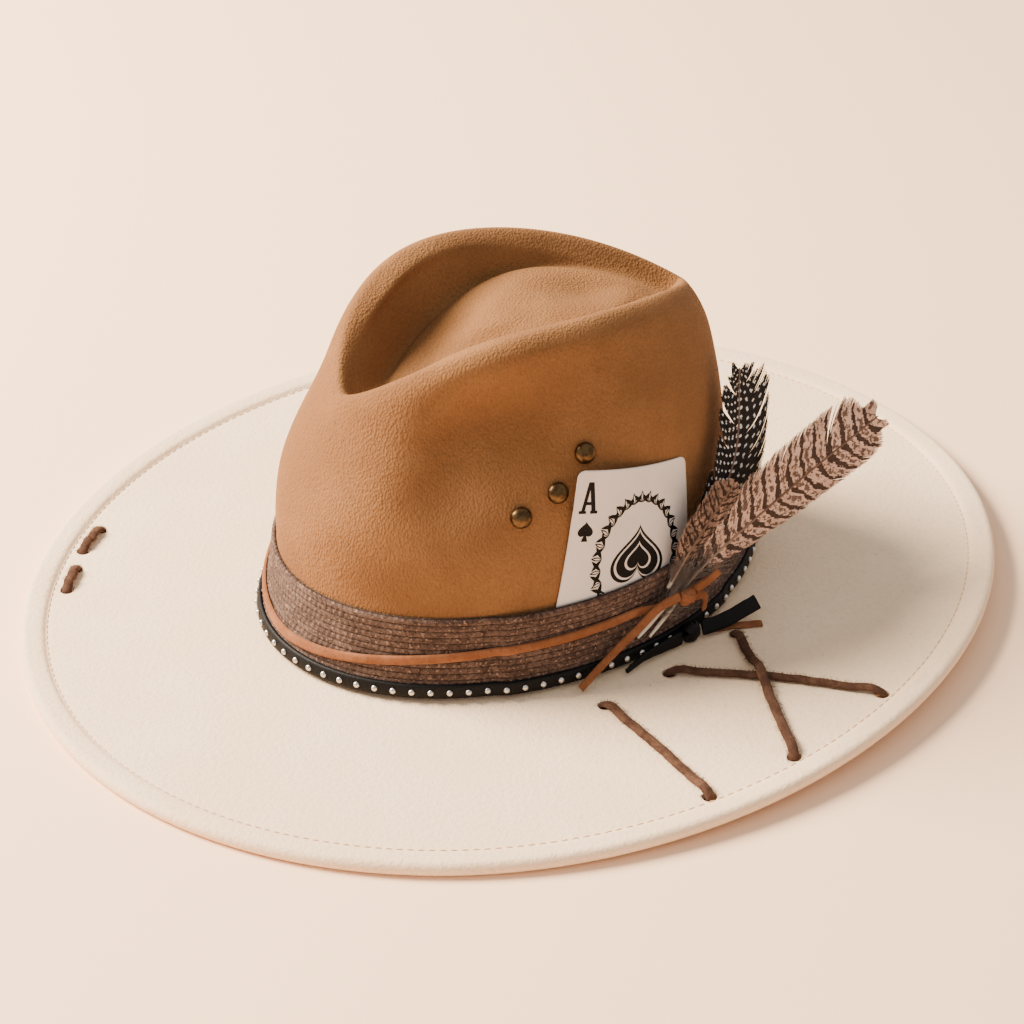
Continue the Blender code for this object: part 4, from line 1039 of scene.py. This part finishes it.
def knot_mesh(name, centre, out, size, turns):
    """Flat closed turns of a strip, laid at different tilts over one another round a common centre."""
    along = np.array([-out[1], out[0], 0.0])
    up = np.array([0.0, 0.0, 1.0])
    meshes = []
    for number, turn in enumerate(turns):
        tilt = math.radians(turn.tilt)
        way = along * math.cos(tilt) * size[1] + up * math.sin(tilt) * size[2]
        circle = np.linspace(0, 2 * math.pi, 33)
        ring = np.outer(np.cos(circle), way / 2 * turn.reach)
        ring = ring + np.outer(np.sin(circle), out) * (size[0] / 2 * turn.lift)
        face = unit(ring)
        line = centre + ring + face * 0.0001 * number
        meshes.append(flat_strip(name, line, np.full(33, turn.width), turn.thickness, np.concatenate([face[:1], face, face[-1:]])))
    return meshes


def join_meshes(name, meshes):
    """One mesh from several, in the order given."""
    points, faces, charts, start = [], [], [], 0
    for mesh in meshes:
        place = np.zeros(len(mesh.vertices) * 3, np.float32)
        mesh.vertices.foreach_get("co", place)
        corner = np.zeros(len(mesh.loops), np.int32)
        mesh.loops.foreach_get("vertex_index", corner)
        value = np.zeros(len(mesh.loops) * 2, np.float32)
        mesh.uv_layers["chart"].data.foreach_get("uv", value)
        chart = np.zeros((len(mesh.vertices), 2), np.float32)
        chart[corner] = value.reshape(-1, 2)
        points.append(place.reshape(-1, 3))
        faces.append(corner.reshape(-1, 4) + start)
        charts.append(chart)
        start += len(mesh.vertices)
        bpy.data.meshes.remove(mesh)
    return build_mesh(name, np.concatenate(points), np.concatenate(faces), np.concatenate(charts))


def place_knot(name, angle, height, clearance, size, turns, finish, slot, node):
    out = unit(wall_out(angle, height))
    centre = wall(angle, height, clearance) + out * size[0] / 2
    meshes = knot_mesh(name, centre, out, size, turns)
    return add_piece(name, join_meshes(name, meshes), finish, slot, node)


suede_turns = (Turn(90, 0.0048, 0.0014, 0.80, 0.82), Turn(28, 0.0034, 0.0013, 0.92, 0.86), Turn(-30, 0.0033, 0.0013, 0.90, 1.02))
place_knot("suede_knot_turns", QUILL_ANGLE - QUILL_ROOM / 6, cord_height(QUILL_ANGLE) + CORD_WIDTH / 3,
           over_quills(QUILL_ANGLE) + CORD_THICKNESS + GAP, SUEDE_KNOT_SIZE, suede_turns, suede, "suede", "suede_knot")
strap_turns = (Turn(90, 0.0062, 0.0015, 0.82, 0.80), Turn(35, 0.0052, 0.0014, 0.86, 0.86), Turn(-62, 0.0046, 0.0014, 0.92, 1.0))
place_knot("strap_knot_turns", STRAP_KNOT_ANGLE, STRAP_BOTTOM + STRAP_KNOT_SIZE[2] / 2 - GAP,
           over_band(STRAP_KNOT_ANGLE) + STRAP_THICKNESS + 2 * GAP, STRAP_KNOT_SIZE, strap_turns, leather,
           "black_leather", "strap_knot")
print("made two knots")

# %% [markdown]
# ## Brass studs
# Each stud is a domed head on a post, with a cap inside the crown. It is turned on a lathe, so one
# profile is swung round its axis. Old brass is stained brown in uneven patches, and is duller where stained.

# %% Brass studs
STUD_RADIUS = 0.00415
STUD_RISE = 0.0029
STUD_POST_RADIUS = 0.0010
STUD_CAP_RADIUS = 0.0024
STUD_CAP_THICKNESS = 0.0008
STUD_SEAT = 0.0006
Stud = namedtuple("Stud", "angle height")
STUDS = (
    Stud(math.radians(84.7), 0.0896),
    Stud(math.radians(77.1), 0.0780),
    Stud(math.radians(67.6), 0.0716),
)

brass = Finish("antique_brass", Metallic=1.0, Roughness=0.3)
stains = brass.noise(420, 4, 0.65)
film = brass.noise(1500, 3, 0.6)
tone = brass.blend(brass.step(stains, 0.40, 0.66), shade(98, 76, 50), shade(66, 50, 33))
tone = brass.blend(brass.step(film, 0.5, 0.8) * 0.5, tone, shade(62, 42, 28))
brass.feed(Base_Color=tone, Roughness=0.26 + stains * 0.2)
brass.bump((film, 0.06, 0.0001))

inside = -FELT * 1.15 - GAP
arc = np.radians(np.linspace(89, 8, 12))
head = [(STUD_RADIUS * math.cos(t), STUD_SEAT + STUD_RISE * math.sin(t)) for t in arc]
shank = [(STUD_RADIUS * 1.01, STUD_SEAT + 0.0002), (STUD_RADIUS * 0.98, STUD_SEAT), (STUD_POST_RADIUS, STUD_SEAT)]
shank += [(STUD_POST_RADIUS, inside), (STUD_CAP_RADIUS, inside), (STUD_CAP_RADIUS, inside - STUD_CAP_THICKNESS)]
shank += [(0.00002, inside - STUD_CAP_THICKNESS)]
for number, stud in enumerate(STUDS, 1):
    turn = STUD_RADIUS / CROWN_HALF_LENGTH
    up = wall(stud.angle, stud.height + STUD_RADIUS, 0) - wall(stud.angle, stud.height - STUD_RADIUS, 0)
    along = wall(stud.angle + turn, stud.height, 0) - wall(stud.angle - turn, stud.height, 0)
    axis = unit(np.cross(along, up))
    name = "stud_head_%d" % number
    mesh = turned_mesh(name, wall(stud.angle, stud.height, 0)[None], axis[None], (head + shank)[::-1], 40)
    add_piece(name, mesh, brass, "antique_brass", "brass_stud_%d" % number)
print("made", len(STUDS), "studs")

# %% [markdown]
# ## The card
# A playing card is stiff along its length and bends only one way, so it follows the crown round the wall
# and stands straight upward above the band. Its print is thin shapes laid on the face: an index letter
# and a small spade in the corner, and a plain large spade with leaves in the middle, which is a generic
# design. Each shape is drawn flat in millimetres and then carried over to the bent card.

# %% The card's surface
CARD_WIDTH = 0.0630
CARD_LENGTH = 0.0740
CARD_CORNER = 0.0035
CARD_ANGLE = math.radians(88.3)
CARD_BOTTOM = 0.0006
CARD_LEAN = math.radians(14.7)

card_angles = np.radians(np.arange(30, 151, 0.5))
card_line = wall(card_angles, BAND_TOP, 0.0)
card_travel = np.concatenate([[0.0], np.cumsum(np.linalg.norm(np.diff(card_line, axis=0), axis=1))])


def card_point(across, up, lift=0.0):
    """A point of the card: across from its middle line, up from its lower edge and off its back."""
    along = across * math.cos(CARD_LEAN) + up * math.sin(CARD_LEAN)
    height = CARD_BOTTOM + up * math.cos(CARD_LEAN) - (across - CARD_WIDTH / 2) * math.sin(CARD_LEAN)
    middle = np.interp(CARD_ANGLE, card_angles, card_travel)
    angle = np.interp(middle + along, card_travel, card_angles)
    bent = np.minimum(height, BAND_TOP)
    lean = wall(angle, BAND_TOP, 0.0) - wall(angle, BAND_TOP / 2, 0.0)
    return wall(angle, bent, 2 * GAP + lift) + lean * ((height - bent) / lean[..., 2])[..., None]


ups = np.concatenate([np.linspace(0, CARD_CORNER, 7), np.linspace(CARD_CORNER, CARD_LENGTH - CARD_CORNER, 40)[1:-1],
                      np.linspace(CARD_LENGTH - CARD_CORNER, CARD_LENGTH, 7)])
into = np.clip(CARD_CORNER - np.minimum(ups, CARD_LENGTH - ups), 0, CARD_CORNER)
halves = CARD_WIDTH / 2 - (CARD_CORNER - np.sqrt(CARD_CORNER**2 - into**2))
across = np.linspace(-1, 1, 33)[None, :] * halves[:, None]
up = np.broadcast_to(ups[:, None], across.shape)
front = card_point(across, up, CARD_THICKNESS)
back = card_point(across, up, 0.0)
points = np.concatenate([front, back[:, ::-1]], axis=1)
points = np.concatenate([(points[:1] + points[:1, ::-1]) / 2, points, (points[-1:] + points[-1:, ::-1]) / 2])
flat = np.stack([across / CARD_WIDTH, up / CARD_LENGTH], axis=-1)
flat = np.concatenate([flat, flat[:, ::-1]], axis=1)
flat = np.concatenate([flat[:1], flat, flat[-1:]])
card_mesh = build_mesh("card_sheet", points, grid_faces(len(points), points.shape[1], close_columns=True), flat)

paper = Finish("card_paper", Roughness=0.42)
paper.shader.inputs["Coat Weight"].default_value = 0.15
blots = paper.noise(60, 4, 0.6)
linen = paper.noise(900, 2, 0.5)
tone = paper.blend(paper.step(blots, 0.45, 0.75) * 0.5, shade(216, 206, 200), shade(202, 190, 182))
paper.feed(Base_Color=tone)
paper.bump((linen, 0.12, 0.0001))
add_piece("card_sheet", card_mesh, paper, "card", "playing_card")
print("the card has", len(card_mesh.polygons), "faces")

# %% The card's print
PRINT_LIFT = CARD_THICKNESS + 0.00005
PRINT_STEPS = 5


def spade_outline(size, count=48):
    """The outline of a spade of a given height, as points round its middle."""
    turn = np.linspace(0, 2 * math.pi, count, endpoint=False)
    x = 16 * np.sin(turn) ** 3
    y = -(13 * np.cos(turn) - 5 * np.cos(2 * turn) - 2 * np.cos(3 * turn) - np.cos(4 * turn))
    return np.stack([x, y], axis=-1) * size / 36


def leaf_outline(length, width, turn, count=16):
    """A pointed leaf that starts at the origin and leans by an angle."""
    place = np.linspace(0, 1, count // 2 + 1)
    half = np.sin(math.pi * place) * width / 2
    x = np.concatenate([half, -half[-2:0:-1]])
    y = np.concatenate([place, place[-2:0:-1]]) * length
    return np.stack([x * math.cos(turn) - y * math.sin(turn), x * math.sin(turn) + y * math.cos(turn)], axis=-1)


def print_shape(outline, middle, lift=PRINT_LIFT):
    """Lay a flat shape on the card: rings from its middle out to the outline."""
    outline = np.asarray(outline, float)
    rings = [outline.mean(axis=0) + (outline - outline.mean(axis=0)) * share for share in np.linspace(0.02, 1, PRINT_STEPS)]
    flat = np.array(rings) + np.asarray(middle)
    points = card_point(flat[..., 0], flat[..., 1], lift)
    return build_mesh("shape", points, grid_faces(PRINT_STEPS, len(outline), close_columns=True), flat / CARD_WIDTH)


def bar(x0, y0, x1, y1, width, slope=0.0):
    """A stroke from one point to another, cut level at its ends."""
    return [(x0 - width / 2, y0), (x0 + width / 2, y0), (x1 + width / 2, y1 + slope), (x1 - width / 2, y1 - slope)]


MM = 0.001
SPADE_HEIGHT = 0.030
WREATH_WIDTH = 0.036
WREATH_HEIGHT = 0.046
PRINT_STEP = 0.00003
index_x = -CARD_WIDTH / 2 + 7.0 * MM
index_y = CARD_LENGTH - 17.6 * MM
letter = [bar(-2.7, 0.0, -0.35, 13.0, 1.7), bar(2.7, 0.0, 0.35, 13.0, 2.1), bar(0.0, 3.6, 0.0, 4.9, 3.8)]
letter += [bar(-2.7, 0.0, -2.7, 1.2, 3.5), bar(2.7, 0.0, 2.7, 1.2, 3.5), bar(0.0, 12.0, 0.0, 13.0, 2.5)]
black_shapes = [print_shape(np.array(stroke) * MM, (index_x, index_y)) for stroke in letter]
black_shapes.append(print_shape(spade_outline(8.0 * MM), (index_x, index_y - 6.9 * MM)))
black_shapes.append(print_shape(np.array([(-1.5, -11.6), (1.5, -11.6), (0.3, -8.0), (-0.3, -8.0)]) * MM, (index_x, index_y)))
centre = (3.0 * MM, 36.0 * MM)
light_shapes = []
for number, share in enumerate((1.0, 0.88, 0.80, 0.50, 0.42)):
    target = light_shapes if number % 2 else black_shapes
    target.append(print_shape(spade_outline(SPADE_HEIGHT * share, 96), centre, PRINT_LIFT + PRINT_STEP * number))
for turn in np.radians(np.arange(-150, 151, 12.5)):
    ring = np.array([math.sin(turn) * WREATH_WIDTH, math.cos(turn) * WREATH_HEIGHT]) / 2
    heading = math.atan2(-ring[0], ring[1])
    for lean, length in ((-0.95, 6.6), (0.0, 5.2), (0.95, 6.6)):
        leaf = leaf_outline(length * MM, 1.7 * MM, heading + lean)
        black_shapes.append(print_shape(leaf, ring + centre))
    vein = leaf_outline(3.6 * MM, 0.7 * MM, heading)
    light_shapes.append(print_shape(vein, ring * 1.03 + centre, PRINT_LIFT + PRINT_STEP))

ink = Finish("card_ink", Base_Color=paint(shade(12, 10, 11)), Roughness=0.5)
ink.shader.inputs["Specular IOR Level"].default_value = 0.12
ink.feed(Roughness=0.42 + ink.noise(800, 2) * 0.2)
add_piece("card_ink_shapes", join_meshes("card_ink_shapes", black_shapes), ink, "card")
add_piece("card_pale_shapes", join_meshes("card_pale_shapes", light_shapes), paper, "card")
print("printed", len(black_shapes) + len(light_shapes), "shapes")

# %% [markdown]
# ## The feathers
# A feather is a tapering shaft with barbs that leave it at a slant on both sides and lie edge to edge.
# Each barb is a thin curved ribbon. Its chart keeps the place on the shaft where it starts, so a bar of
# colour follows the barbs, as it does in life. Here and there the barbs part, as on any handled feather.

# %% Feather sizes
Feather = namedtuple("Feather", "name end_angle end_height tie_angle tie_height tip back bow left right face")
FEATHERS = (
    Feather("barred_feather", 94.0, 0.0094, 107.5, 0.0238, (0.0800, 0.1202, 0.0730), 0.0, 0.0023, 0.0160, 0.0120, 0.6),
    Feather("spotted_feather", 91.0, 0.0112, 103.0, 0.0235, (0.0500, 0.0720, 0.0970), 0.0125, 0.0035, 0.0125, 0.0130, 0.3),
    Feather("small_feather", 100.5, 0.0262, 102.5, 0.0290, (0.0780, 0.0490, 0.0670), 0.0, 0.0010, 0.0080, 0.0080, 0.2),
)
Vane = namedtuple("Vane", "place left right shaft")
VANES = (
    Vane(0.00, 0.00, 0.00, 0.45),
    Vane(0.03, 0.00, 0.00, 0.80),
    Vane(0.22, 0.00, 0.00, 1.00),
    Vane(0.26, 0.42, 0.15, 0.80),
    Vane(0.32, 0.78, 0.62, 0.65),
    Vane(0.42, 0.96, 0.88, 0.60),
    Vane(0.56, 1.00, 0.97, 0.55),
    Vane(0.72, 0.97, 1.00, 0.50),
    Vane(0.88, 0.92, 1.00, 0.45),
    Vane(0.96, 0.72, 0.80, 0.40),
    Vane(1.00, 0.34, 0.40, 0.35),
)
BARE_SHARE = 0.22
BARB_PITCH = 0.00040
BARB_WIDTH = 0.00078
BARB_STEPS = 9
BARB_SLANT = 0.95
VANE_CAMBER = 0.0011
TIP_SHARE = 1.02
BAR_LEAN = 0.35
BLUNTNESS = {"barred_feather": 1.0, "spotted_feather": 0.95, "small_feather": 0.8}
SPREAD = {
    "barred_feather": {-1: 1.18, 1: 1.24},
    "spotted_feather": {-1: 0.95, 1: 1.70},
    "small_feather": {-1: 1.25, 1: 1.25},
}
DOWN_LENGTH = 0.012
DOWN_COUNT = 220


def feather_path(feather):
    """The shaft's line from the quill's end to the tip, with the way its face looks and its shares."""
    share = np.array([0.0, 0.5, 1.0])
    angle = np.radians(feather.end_angle + (feather.tie_angle - feather.end_angle) * share)
    height = feather.end_height + (feather.tie_height - feather.end_height) * share
    places = wall(angle, height, over_band(angle) + GAP + QUILL_RADIUS)
    tip = np.array(feather.tip)
    middle = (places[-1] + tip) / 2 + np.array([0.0, feather.back, feather.bow])
    line = smooth_path([*places, middle, tip], 40)
    travelled = np.concatenate([[0.0], np.cumsum(np.linalg.norm(np.diff(line, axis=0), axis=1))])
    start = np.linalg.norm(places[-1] - places[0])
    bare = np.interp(travelled, [0, start, travelled[-1]], [0, BARE_SHARE, 1])
    out = wall_out(angle[-1], height[-1])
    beyond = np.clip((travelled - start) / (travelled[-1] - start), 0, 1)
    face = out + np.outer(beyond, (0, 0, feather.face))
    return line, face, bare, travelled


def vane_value(column, place):
    """A column of the vane table read at a place along the feather, with its corners smoothed."""
    places = np.array([vane.place for vane in VANES])
    values = np.array([getattr(vane, column) for vane in VANES])
    spread = np.linspace(-0.02, 0.02, 5)
    return np.mean([np.interp(np.asarray(place) + offset, places, values) for offset in spread], axis=0)


def barb_ribbons(feather, seed, splits):
    """All the barbs of a feather: (barbs, steps, 2 edges) points and a chart of root place and reach."""
    chance = np.random.default_rng(seed)
    line, face, share, travelled = feather_path(feather)
    ahead = unit(np.gradient(line, axis=0))
    side = unit(np.cross(ahead, face))
    out = np.cross(side, ahead)
    length = travelled[-1] - np.interp(BARE_SHARE, share, travelled)
    points, chart = [], []
    for hand, column, widest in ((-1, "left", feather.left), (1, "right", feather.right)):
        count = int(length / BARB_PITCH)
        root = np.interp(np.linspace(0.0, 0.985, count), [0, 1], [BARE_SHARE + 0.03, 1.0])
        per_metre = (1 - BARE_SHARE) / length
        reach = vane_value(column, root) * widest
        ahead_by = BARB_SLANT * reach * per_metre * 0.8
        reach = vane_value(column, np.minimum(root + ahead_by, 1.0)) * widest
        room = (travelled[-1] * TIP_SHARE - np.interp(root, share, travelled)) / BARB_SLANT
        reach = np.minimum(reach * SPREAD[feather.name][hand], room * BLUNTNESS[feather.name])
        reach = np.maximum(reach * (1 + chance.normal(0, 0.02, count)), 0.0006)
        parting = np.zeros(count)
        for place, strength in splits[hand]:
            near = (root - place) / 0.022
            parting += strength * np.sign(near) * np.exp(-(near**2)) * (np.abs(near) > 0.02)
        slant = BARB_SLANT * (1 + chance.normal(0, 0.010, count) + parting)
        wave = waves(seed + hand + 5)(root * 3)
        t = np.linspace(0, 1, BARB_STEPS)[None, :]
        sideways = reach[:, None] * (t - 0.10 * t**3 * (1 + parting[:, None]))
        forward = (reach * slant)[:, None] * (0.55 * t + 0.45 * t**2)
        place = np.interp(root, share, travelled)[:, None] + forward
        over = np.maximum(place - travelled[-1], 0.0)
        inside = np.minimum(place, travelled[-1])
        centre = np.stack([np.interp(inside, travelled, line[:, axis]) for axis in range(3)], axis=-1)
        axes = [np.stack([np.interp(inside, travelled, v[:, a]) for a in range(3)], axis=-1) for v in (ahead, side, out)]
        lift = -VANE_CAMBER * t**2 * (reach / widest)[:, None] + 0.0006 * wave[:, None] * t
        lift = lift + 0.00012 * (np.arange(count)[:, None] % 3 - 1) + 0.0004 * parting[:, None] * t
        middle = centre + axes[0] * over[..., None] + axes[1] * (hand * sideways)[..., None] + axes[2] * lift[..., None]
        along = unit(np.gradient(middle, axis=1))
        across = unit(np.cross(along, axes[2]))
        half = BARB_WIDTH / 2 * (1 - 0.75 * t**3) * np.ones((count, 1))
        points.append(np.stack([middle - across * half[..., None], middle + across * half[..., None]], axis=2))
        seen = root[:, None] + (forward * per_metre) * BAR_LEAN
        value = np.stack(np.broadcast_arrays(seen[:, :, None], hand * t[:, :, None] * np.ones(2)), axis=-1)
        chart.append(value)
    return np.concatenate(points), np.concatenate(chart)


def ribbon_mesh(name, points, chart):
    """Many ribbons as one mesh, each a strip of quads between its two edges."""
    count, steps = points.shape[:2]
    one = grid_faces(steps, 2)
    faces = (one[None] + (np.arange(count) * steps * 2)[:, None, None]).reshape(-1, 4)
    return build_mesh(name, points, faces, chart)


print("a barb is %.1f mm wide" % (BARB_WIDTH * 1000))

# %% Feather patterns
def feather_finish(name):
    finish = Finish(name, Roughness=0.7, Sheen_Weight=0.04)
    finish.shader.inputs["Specular IOR Level"].default_value = 0.12
    return finish


def make_barred(name, bars, ground, dark):
    """Tan barbs with dark bars that wander, and fine specks between the bars."""
    finish = feather_finish(name)
    root, reach = finish.chart()
    wander = finish.noise(150, 3, 0.6)
    specks = finish.noise(1100, 2, 0.6)
    wide = finish.math("ABSOLUTE", reach)
    blotch = finish.noise(420, 3, 0.65)
    phase = (root + (wander - 0.5) * 0.05 + wide * 0.012) * bars
    band = finish.math("SINE", phase * (2 * math.pi))
    mask = finish.step(band + (blotch - 0.5) * 1.6 - wide * 0.30, 0.22, 0.42)
    echo = finish.math("SINE", (phase + 0.52) * (2 * math.pi))
    broken = finish.step(echo, 0.25, 0.55) * finish.step(blotch, 0.47, 0.52)
    freckle = finish.step(specks, 0.55, 0.64) * 0.45
    mask = finish.math("MAXIMUM", mask, broken * 0.85)
    tone = finish.blend(finish.step(wander, 0.4, 0.7) * 0.6, ground, shade(190, 152, 132))
    tone = finish.blend(freckle, tone, dark)
    tone = finish.blend(mask * 0.92, tone, dark)
    tone = finish.blend(finish.step(wide, 0.86, 1.0) * 0.35, tone, shade(196, 168, 150))
    finish.feed(Base_Color=tone)
    return finish


def make_spotted(name):
    """Dark barbs with rows of round white spots on both sides of the shaft."""
    finish = feather_finish(name)
    root, reach = finish.chart()
    wide = finish.math("ABSOLUTE", reach) * 5.2 + 0.15
    lane = finish.math("FLOOR", wide)
    shifted = root * 33.0 + finish.math("MODULO", lane, 2.0) * 0.5
    x = finish.math("FRACT", wide) - 0.5
    y = finish.math("FRACT", shifted) - 0.5
    wobble = finish.noise(500, 2, 0.5)
    far = x * x * 1.5 + y * y * 1.6 + (wobble - 0.5) * 0.10
    spot = 1.0 - finish.step(far, 0.040, 0.080)
    fine = finish.noise(900, 3, 0.6)
    tone = finish.blend(finish.step(fine, 0.45, 0.7) * 0.6, shade(22, 18, 18), shade(42, 36, 35))
    tone = finish.blend(spot * 0.92, tone, shade(232, 228, 222))
    finish.feed(Base_Color=tone)
    return finish


barred = make_barred("barred_barbs", 19.0, shade(222, 184, 164), shade(26, 14, 10))
small_barred = make_barred("small_barred_barbs", 15.0, shade(128, 102, 88), shade(28, 18, 14))
spotted = make_spotted("spotted_barbs")
horn = Finish("feather_shaft", Roughness=0.35)
root, reach = horn.chart()
tone = horn.ramp(root, (0.0, shade(226, 214, 198)), (0.35, shade(205, 178, 150)), (0.7, shade(98, 68, 50)))
horn.feed(Base_Color=tone)
down = Finish("feather_down", Base_Color=paint(shade(116, 98, 86)), Roughness=0.8, Sheen_Weight=0.3)
print("made the feathers' finishes")

# %% The feathers' meshes
SPLITS = {
    "barred_feather": {-1: ((0.36, 0.06), (0.79, 0.17)), 1: ((0.62, 0.03), (0.86, 0.03))},
    "spotted_feather": {-1: ((0.55, 0.08), (0.70, 0.14), (0.80, 0.16), (0.90, 0.2)), 1: ((0.76, 0.06), (0.86, 0.12), (0.93, 0.14))},
    "small_feather": {-1: ((0.60, 0.06),), 1: ((0.80, 0.06),)},
}
FEATHER_DRESS = {
    "barred_feather": (barred, "barred_feather"),
    "spotted_feather": (spotted, "spotted_feather"),
    "small_feather": (small_barred, "barred_feather"),
}


def down_tufts(feather, seed):
    """Loose curling down at the foot of the vane."""
    chance = np.random.default_rng(seed)
    line, face, share, travelled = feather_path(feather)
    place = chance.uniform(BARE_SHARE - 0.12, BARE_SHARE + 0.07, DOWN_COUNT)
    root = np.stack([np.interp(place, share, line[:, axis]) for axis in range(3)], axis=-1)
    ahead = unit(np.gradient(line, axis=0))
    forward = np.stack([np.interp(place, share, ahead[:, axis]) for axis in range(3)], axis=-1)
    look = unit(np.stack([np.interp(place, share, face[:, axis]) for axis in range(3)], axis=-1))
    side = np.cross(forward, look)
    hand = chance.choice([-1.0, 1.0], DOWN_COUNT)[:, None]
    way = unit(side * hand + forward * chance.uniform(0.2, 1.1, (DOWN_COUNT, 1)) + look * chance.uniform(0, 0.5, (DOWN_COUNT, 1)))
    t = np.linspace(0, 1, 8)[None, :, None]
    reach = DOWN_LENGTH * (feather.left / 0.0125) * chance.uniform(0.4, 1.0, (DOWN_COUNT, 1, 1))
    curl = np.sin(t * chance.uniform(3, 8, (DOWN_COUNT, 1, 1)) + chance.uniform(0, 6, (DOWN_COUNT, 1, 1)))
    lines = root[:, None] + way[:, None] * t * reach + look[:, None] * curl * t * 0.0012 + forward[:, None] * t**2 * reach * 0.4
    return tube_mesh(feather.name + "_down", lines, 0.00009 * (1 - 0.6 * t[..., 0]), 3, look[:, None])


for number, feather in enumerate(FEATHERS):
    finish, slot = FEATHER_DRESS[feather.name]
    ribbons, chart = barb_ribbons(feather, number + 20, SPLITS[feather.name])
    add_piece(feather.name + "_barbs", ribbon_mesh(feather.name + "_barbs", ribbons, chart), finish, slot, feather.name)
    line, face, share, travelled = feather_path(feather)
    radii = QUILL_RADIUS * vane_value("shaft", share)
    capped, radii = with_caps(line, radii)
    faces_out = np.concatenate([face[:1], face, face[-1:]])
    shaft = tube_mesh(feather.name + "_shaft", capped[None], radii[None], 8, faces_out[None])
    add_piece(feather.name + "_shaft", shaft, horn, slot)
    add_piece(feather.name + "_down", down_tufts(feather, number + 60), down, slot)
    print(feather.name, "has", len(ribbons), "barbs")

# %% [markdown]
# ## The brim laces
# Rough brown suede laces are drawn up through one hole and down through another, without any pattern.
# Each is an uneven tube that lies on the felt and humps over a lace that it crosses, with short fuzz
# along it. The fuzz is one mesh of fine hairs.

# %% Brim laces
LACE_WIDTH = 0.0040
LACE_THICKNESS = 0.0024
LACE_ARCH = 0.0007
LACE_ARCH_LENGTH = 0.0045
LACE_TURN = 0.0038
LACE_STEP = 0.0080
LACE_HUMP_LENGTH = 0.0075
LACE_INSET = 0.0008
HAIRS_PER_METRE = 7000

brown_suede = Finish("brown_suede", Roughness=0.97, Sheen_Weight=0.35)
brown_suede.shader.inputs["Sheen Tint"].default_value = paint(shade(120, 88, 68))
brown_suede.shader.inputs["Specular IOR Level"].default_value = 0.12
nap = brown_suede.noise(800, 4, 0.7)
drift = brown_suede.noise(160, 3, 0.6)
tone = brown_suede.blend(brown_suede.step(drift, 0.4, 0.66), shade(72, 49, 38), shade(92, 66, 51))
tone = brown_suede.blend(brown_suede.step(nap, 0.52, 0.75) * 0.6, tone, shade(38, 23, 17))
brown_suede.feed(Base_Color=tone)
brown_suede.bump((nap, 0.8, 0.0005))


def lift_at(x, y):
    return brim_lift(*brim_reach(np.asarray(x, float), np.asarray(y, float)))


def lace_path(lace):
    """The lace's line: up out of one hole, over the brim and down into the other."""
    start, end = lace_ends(lace)
    length = np.linalg.norm(end - start)
    ahead = (end - start) / length
    sideways = np.array([-ahead[1], ahead[0]])
    over = BRIM_TOP + GAP + LACE_THICKNESS / 2
    stacks = []
    for hole, way in ((start, 1), (end, -1)):
        inset = hole - ahead * way * (LACE_HOLE_RADIUS - LACE_THICKNESS / 2 - LACE_INSET)
        stack = [(*inset, level + lift_at(*hole)) for level in (BRIM_CLEARANCE, BRIM_TOP - GAP)]
        stacks.append(stack[::way])
    place = np.linspace(LACE_TURN / length, 1 - LACE_TURN / length, max(3, round(length / LACE_STEP)))
    plan = start + np.outer(place, ahead) * length + np.outer(np.sin(math.pi * place), sideways) * lace.bow
    hump = lace.hump * np.exp(-(((place - lace.hump_place) * length / LACE_HUMP_LENGTH) ** 2))
    from_hole = np.minimum(place, 1 - place) * length - LACE_TURN
    arch = LACE_ARCH * np.exp(-((from_hole / LACE_ARCH_LENGTH) ** 2))
    level = lift_at(plan[:, 0], plan[:, 1]) + over + hump + arch
    return smooth_path([*stacks[0], *np.column_stack([plan, level]), *stacks[1]], 10), np.array([*sideways, 0.0])


hair_chance = np.random.default_rng(77)
hair_lines = []
for number, lace in enumerate(LACES):
    line, sideways = lace_path(lace)
    travelled = np.concatenate([[0.0], np.cumsum(np.linalg.norm(np.diff(line, axis=0), axis=1))])
    place = travelled / travelled[-1]
    line = line + sideways * (0.0004 * waves(number + 90)(place * 2) * np.sin(math.pi * place))[:, None]
    half = LACE_WIDTH / 2 * (1 + 0.03 * waves(number + 80)(place * travelled[-1] / 0.012))
    capped, radii = with_caps(line, half)
    ahead = unit(np.gradient(capped, axis=0))
    out = np.cross(ahead, sideways)
    mesh = tube_mesh(lace.name + "_tube", capped[None], radii[None], 12, out[None], LACE_THICKNESS / LACE_WIDTH)
    add_piece(lace.name + "_tube", mesh, brown_suede, "brown_lace", lace.name)
    count = int(HAIRS_PER_METRE * travelled[-1])
    at = hair_chance.uniform(0.02, 0.98, count) * travelled[-1]
    root = np.stack([np.interp(at, travelled, line[:, axis]) for axis in range(3)], axis=-1)
    lean = np.stack([np.interp(at, travelled, np.gradient(line, axis=0)[:, axis]) for axis in range(3)], axis=-1)
    turn = hair_chance.uniform(-0.2, math.pi + 0.2, count)[:, None]
    up = np.array([0.0, 0.0, 1.0])
    way = sideways * np.cos(turn) + up * np.sin(turn) * 0.75
    tip = way + unit(lean) * hair_chance.normal(0, 0.8, (count, 1))
    t = np.array([0.0, 0.33, 0.66, 1.0])[None, :, None]
    size = hair_chance.uniform(0.0003, 0.0012, (count, 1, 1))
    start = root + way * np.array([LACE_WIDTH * 0.45, LACE_WIDTH * 0.45, LACE_THICKNESS * 0.55])
    hair_lines.append(start[:, None] + way[:, None] * t * size * 0.6 + unit(tip)[:, None] * t**2 * size)
hairs = tube_mesh("lace_fuzz", np.concatenate(hair_lines), 0.00005, 3)
add_piece("lace_fuzz", hairs, brown_suede, "brown_lace")
print("the laces have", len(hairs.polygons) // 9, "hairs")
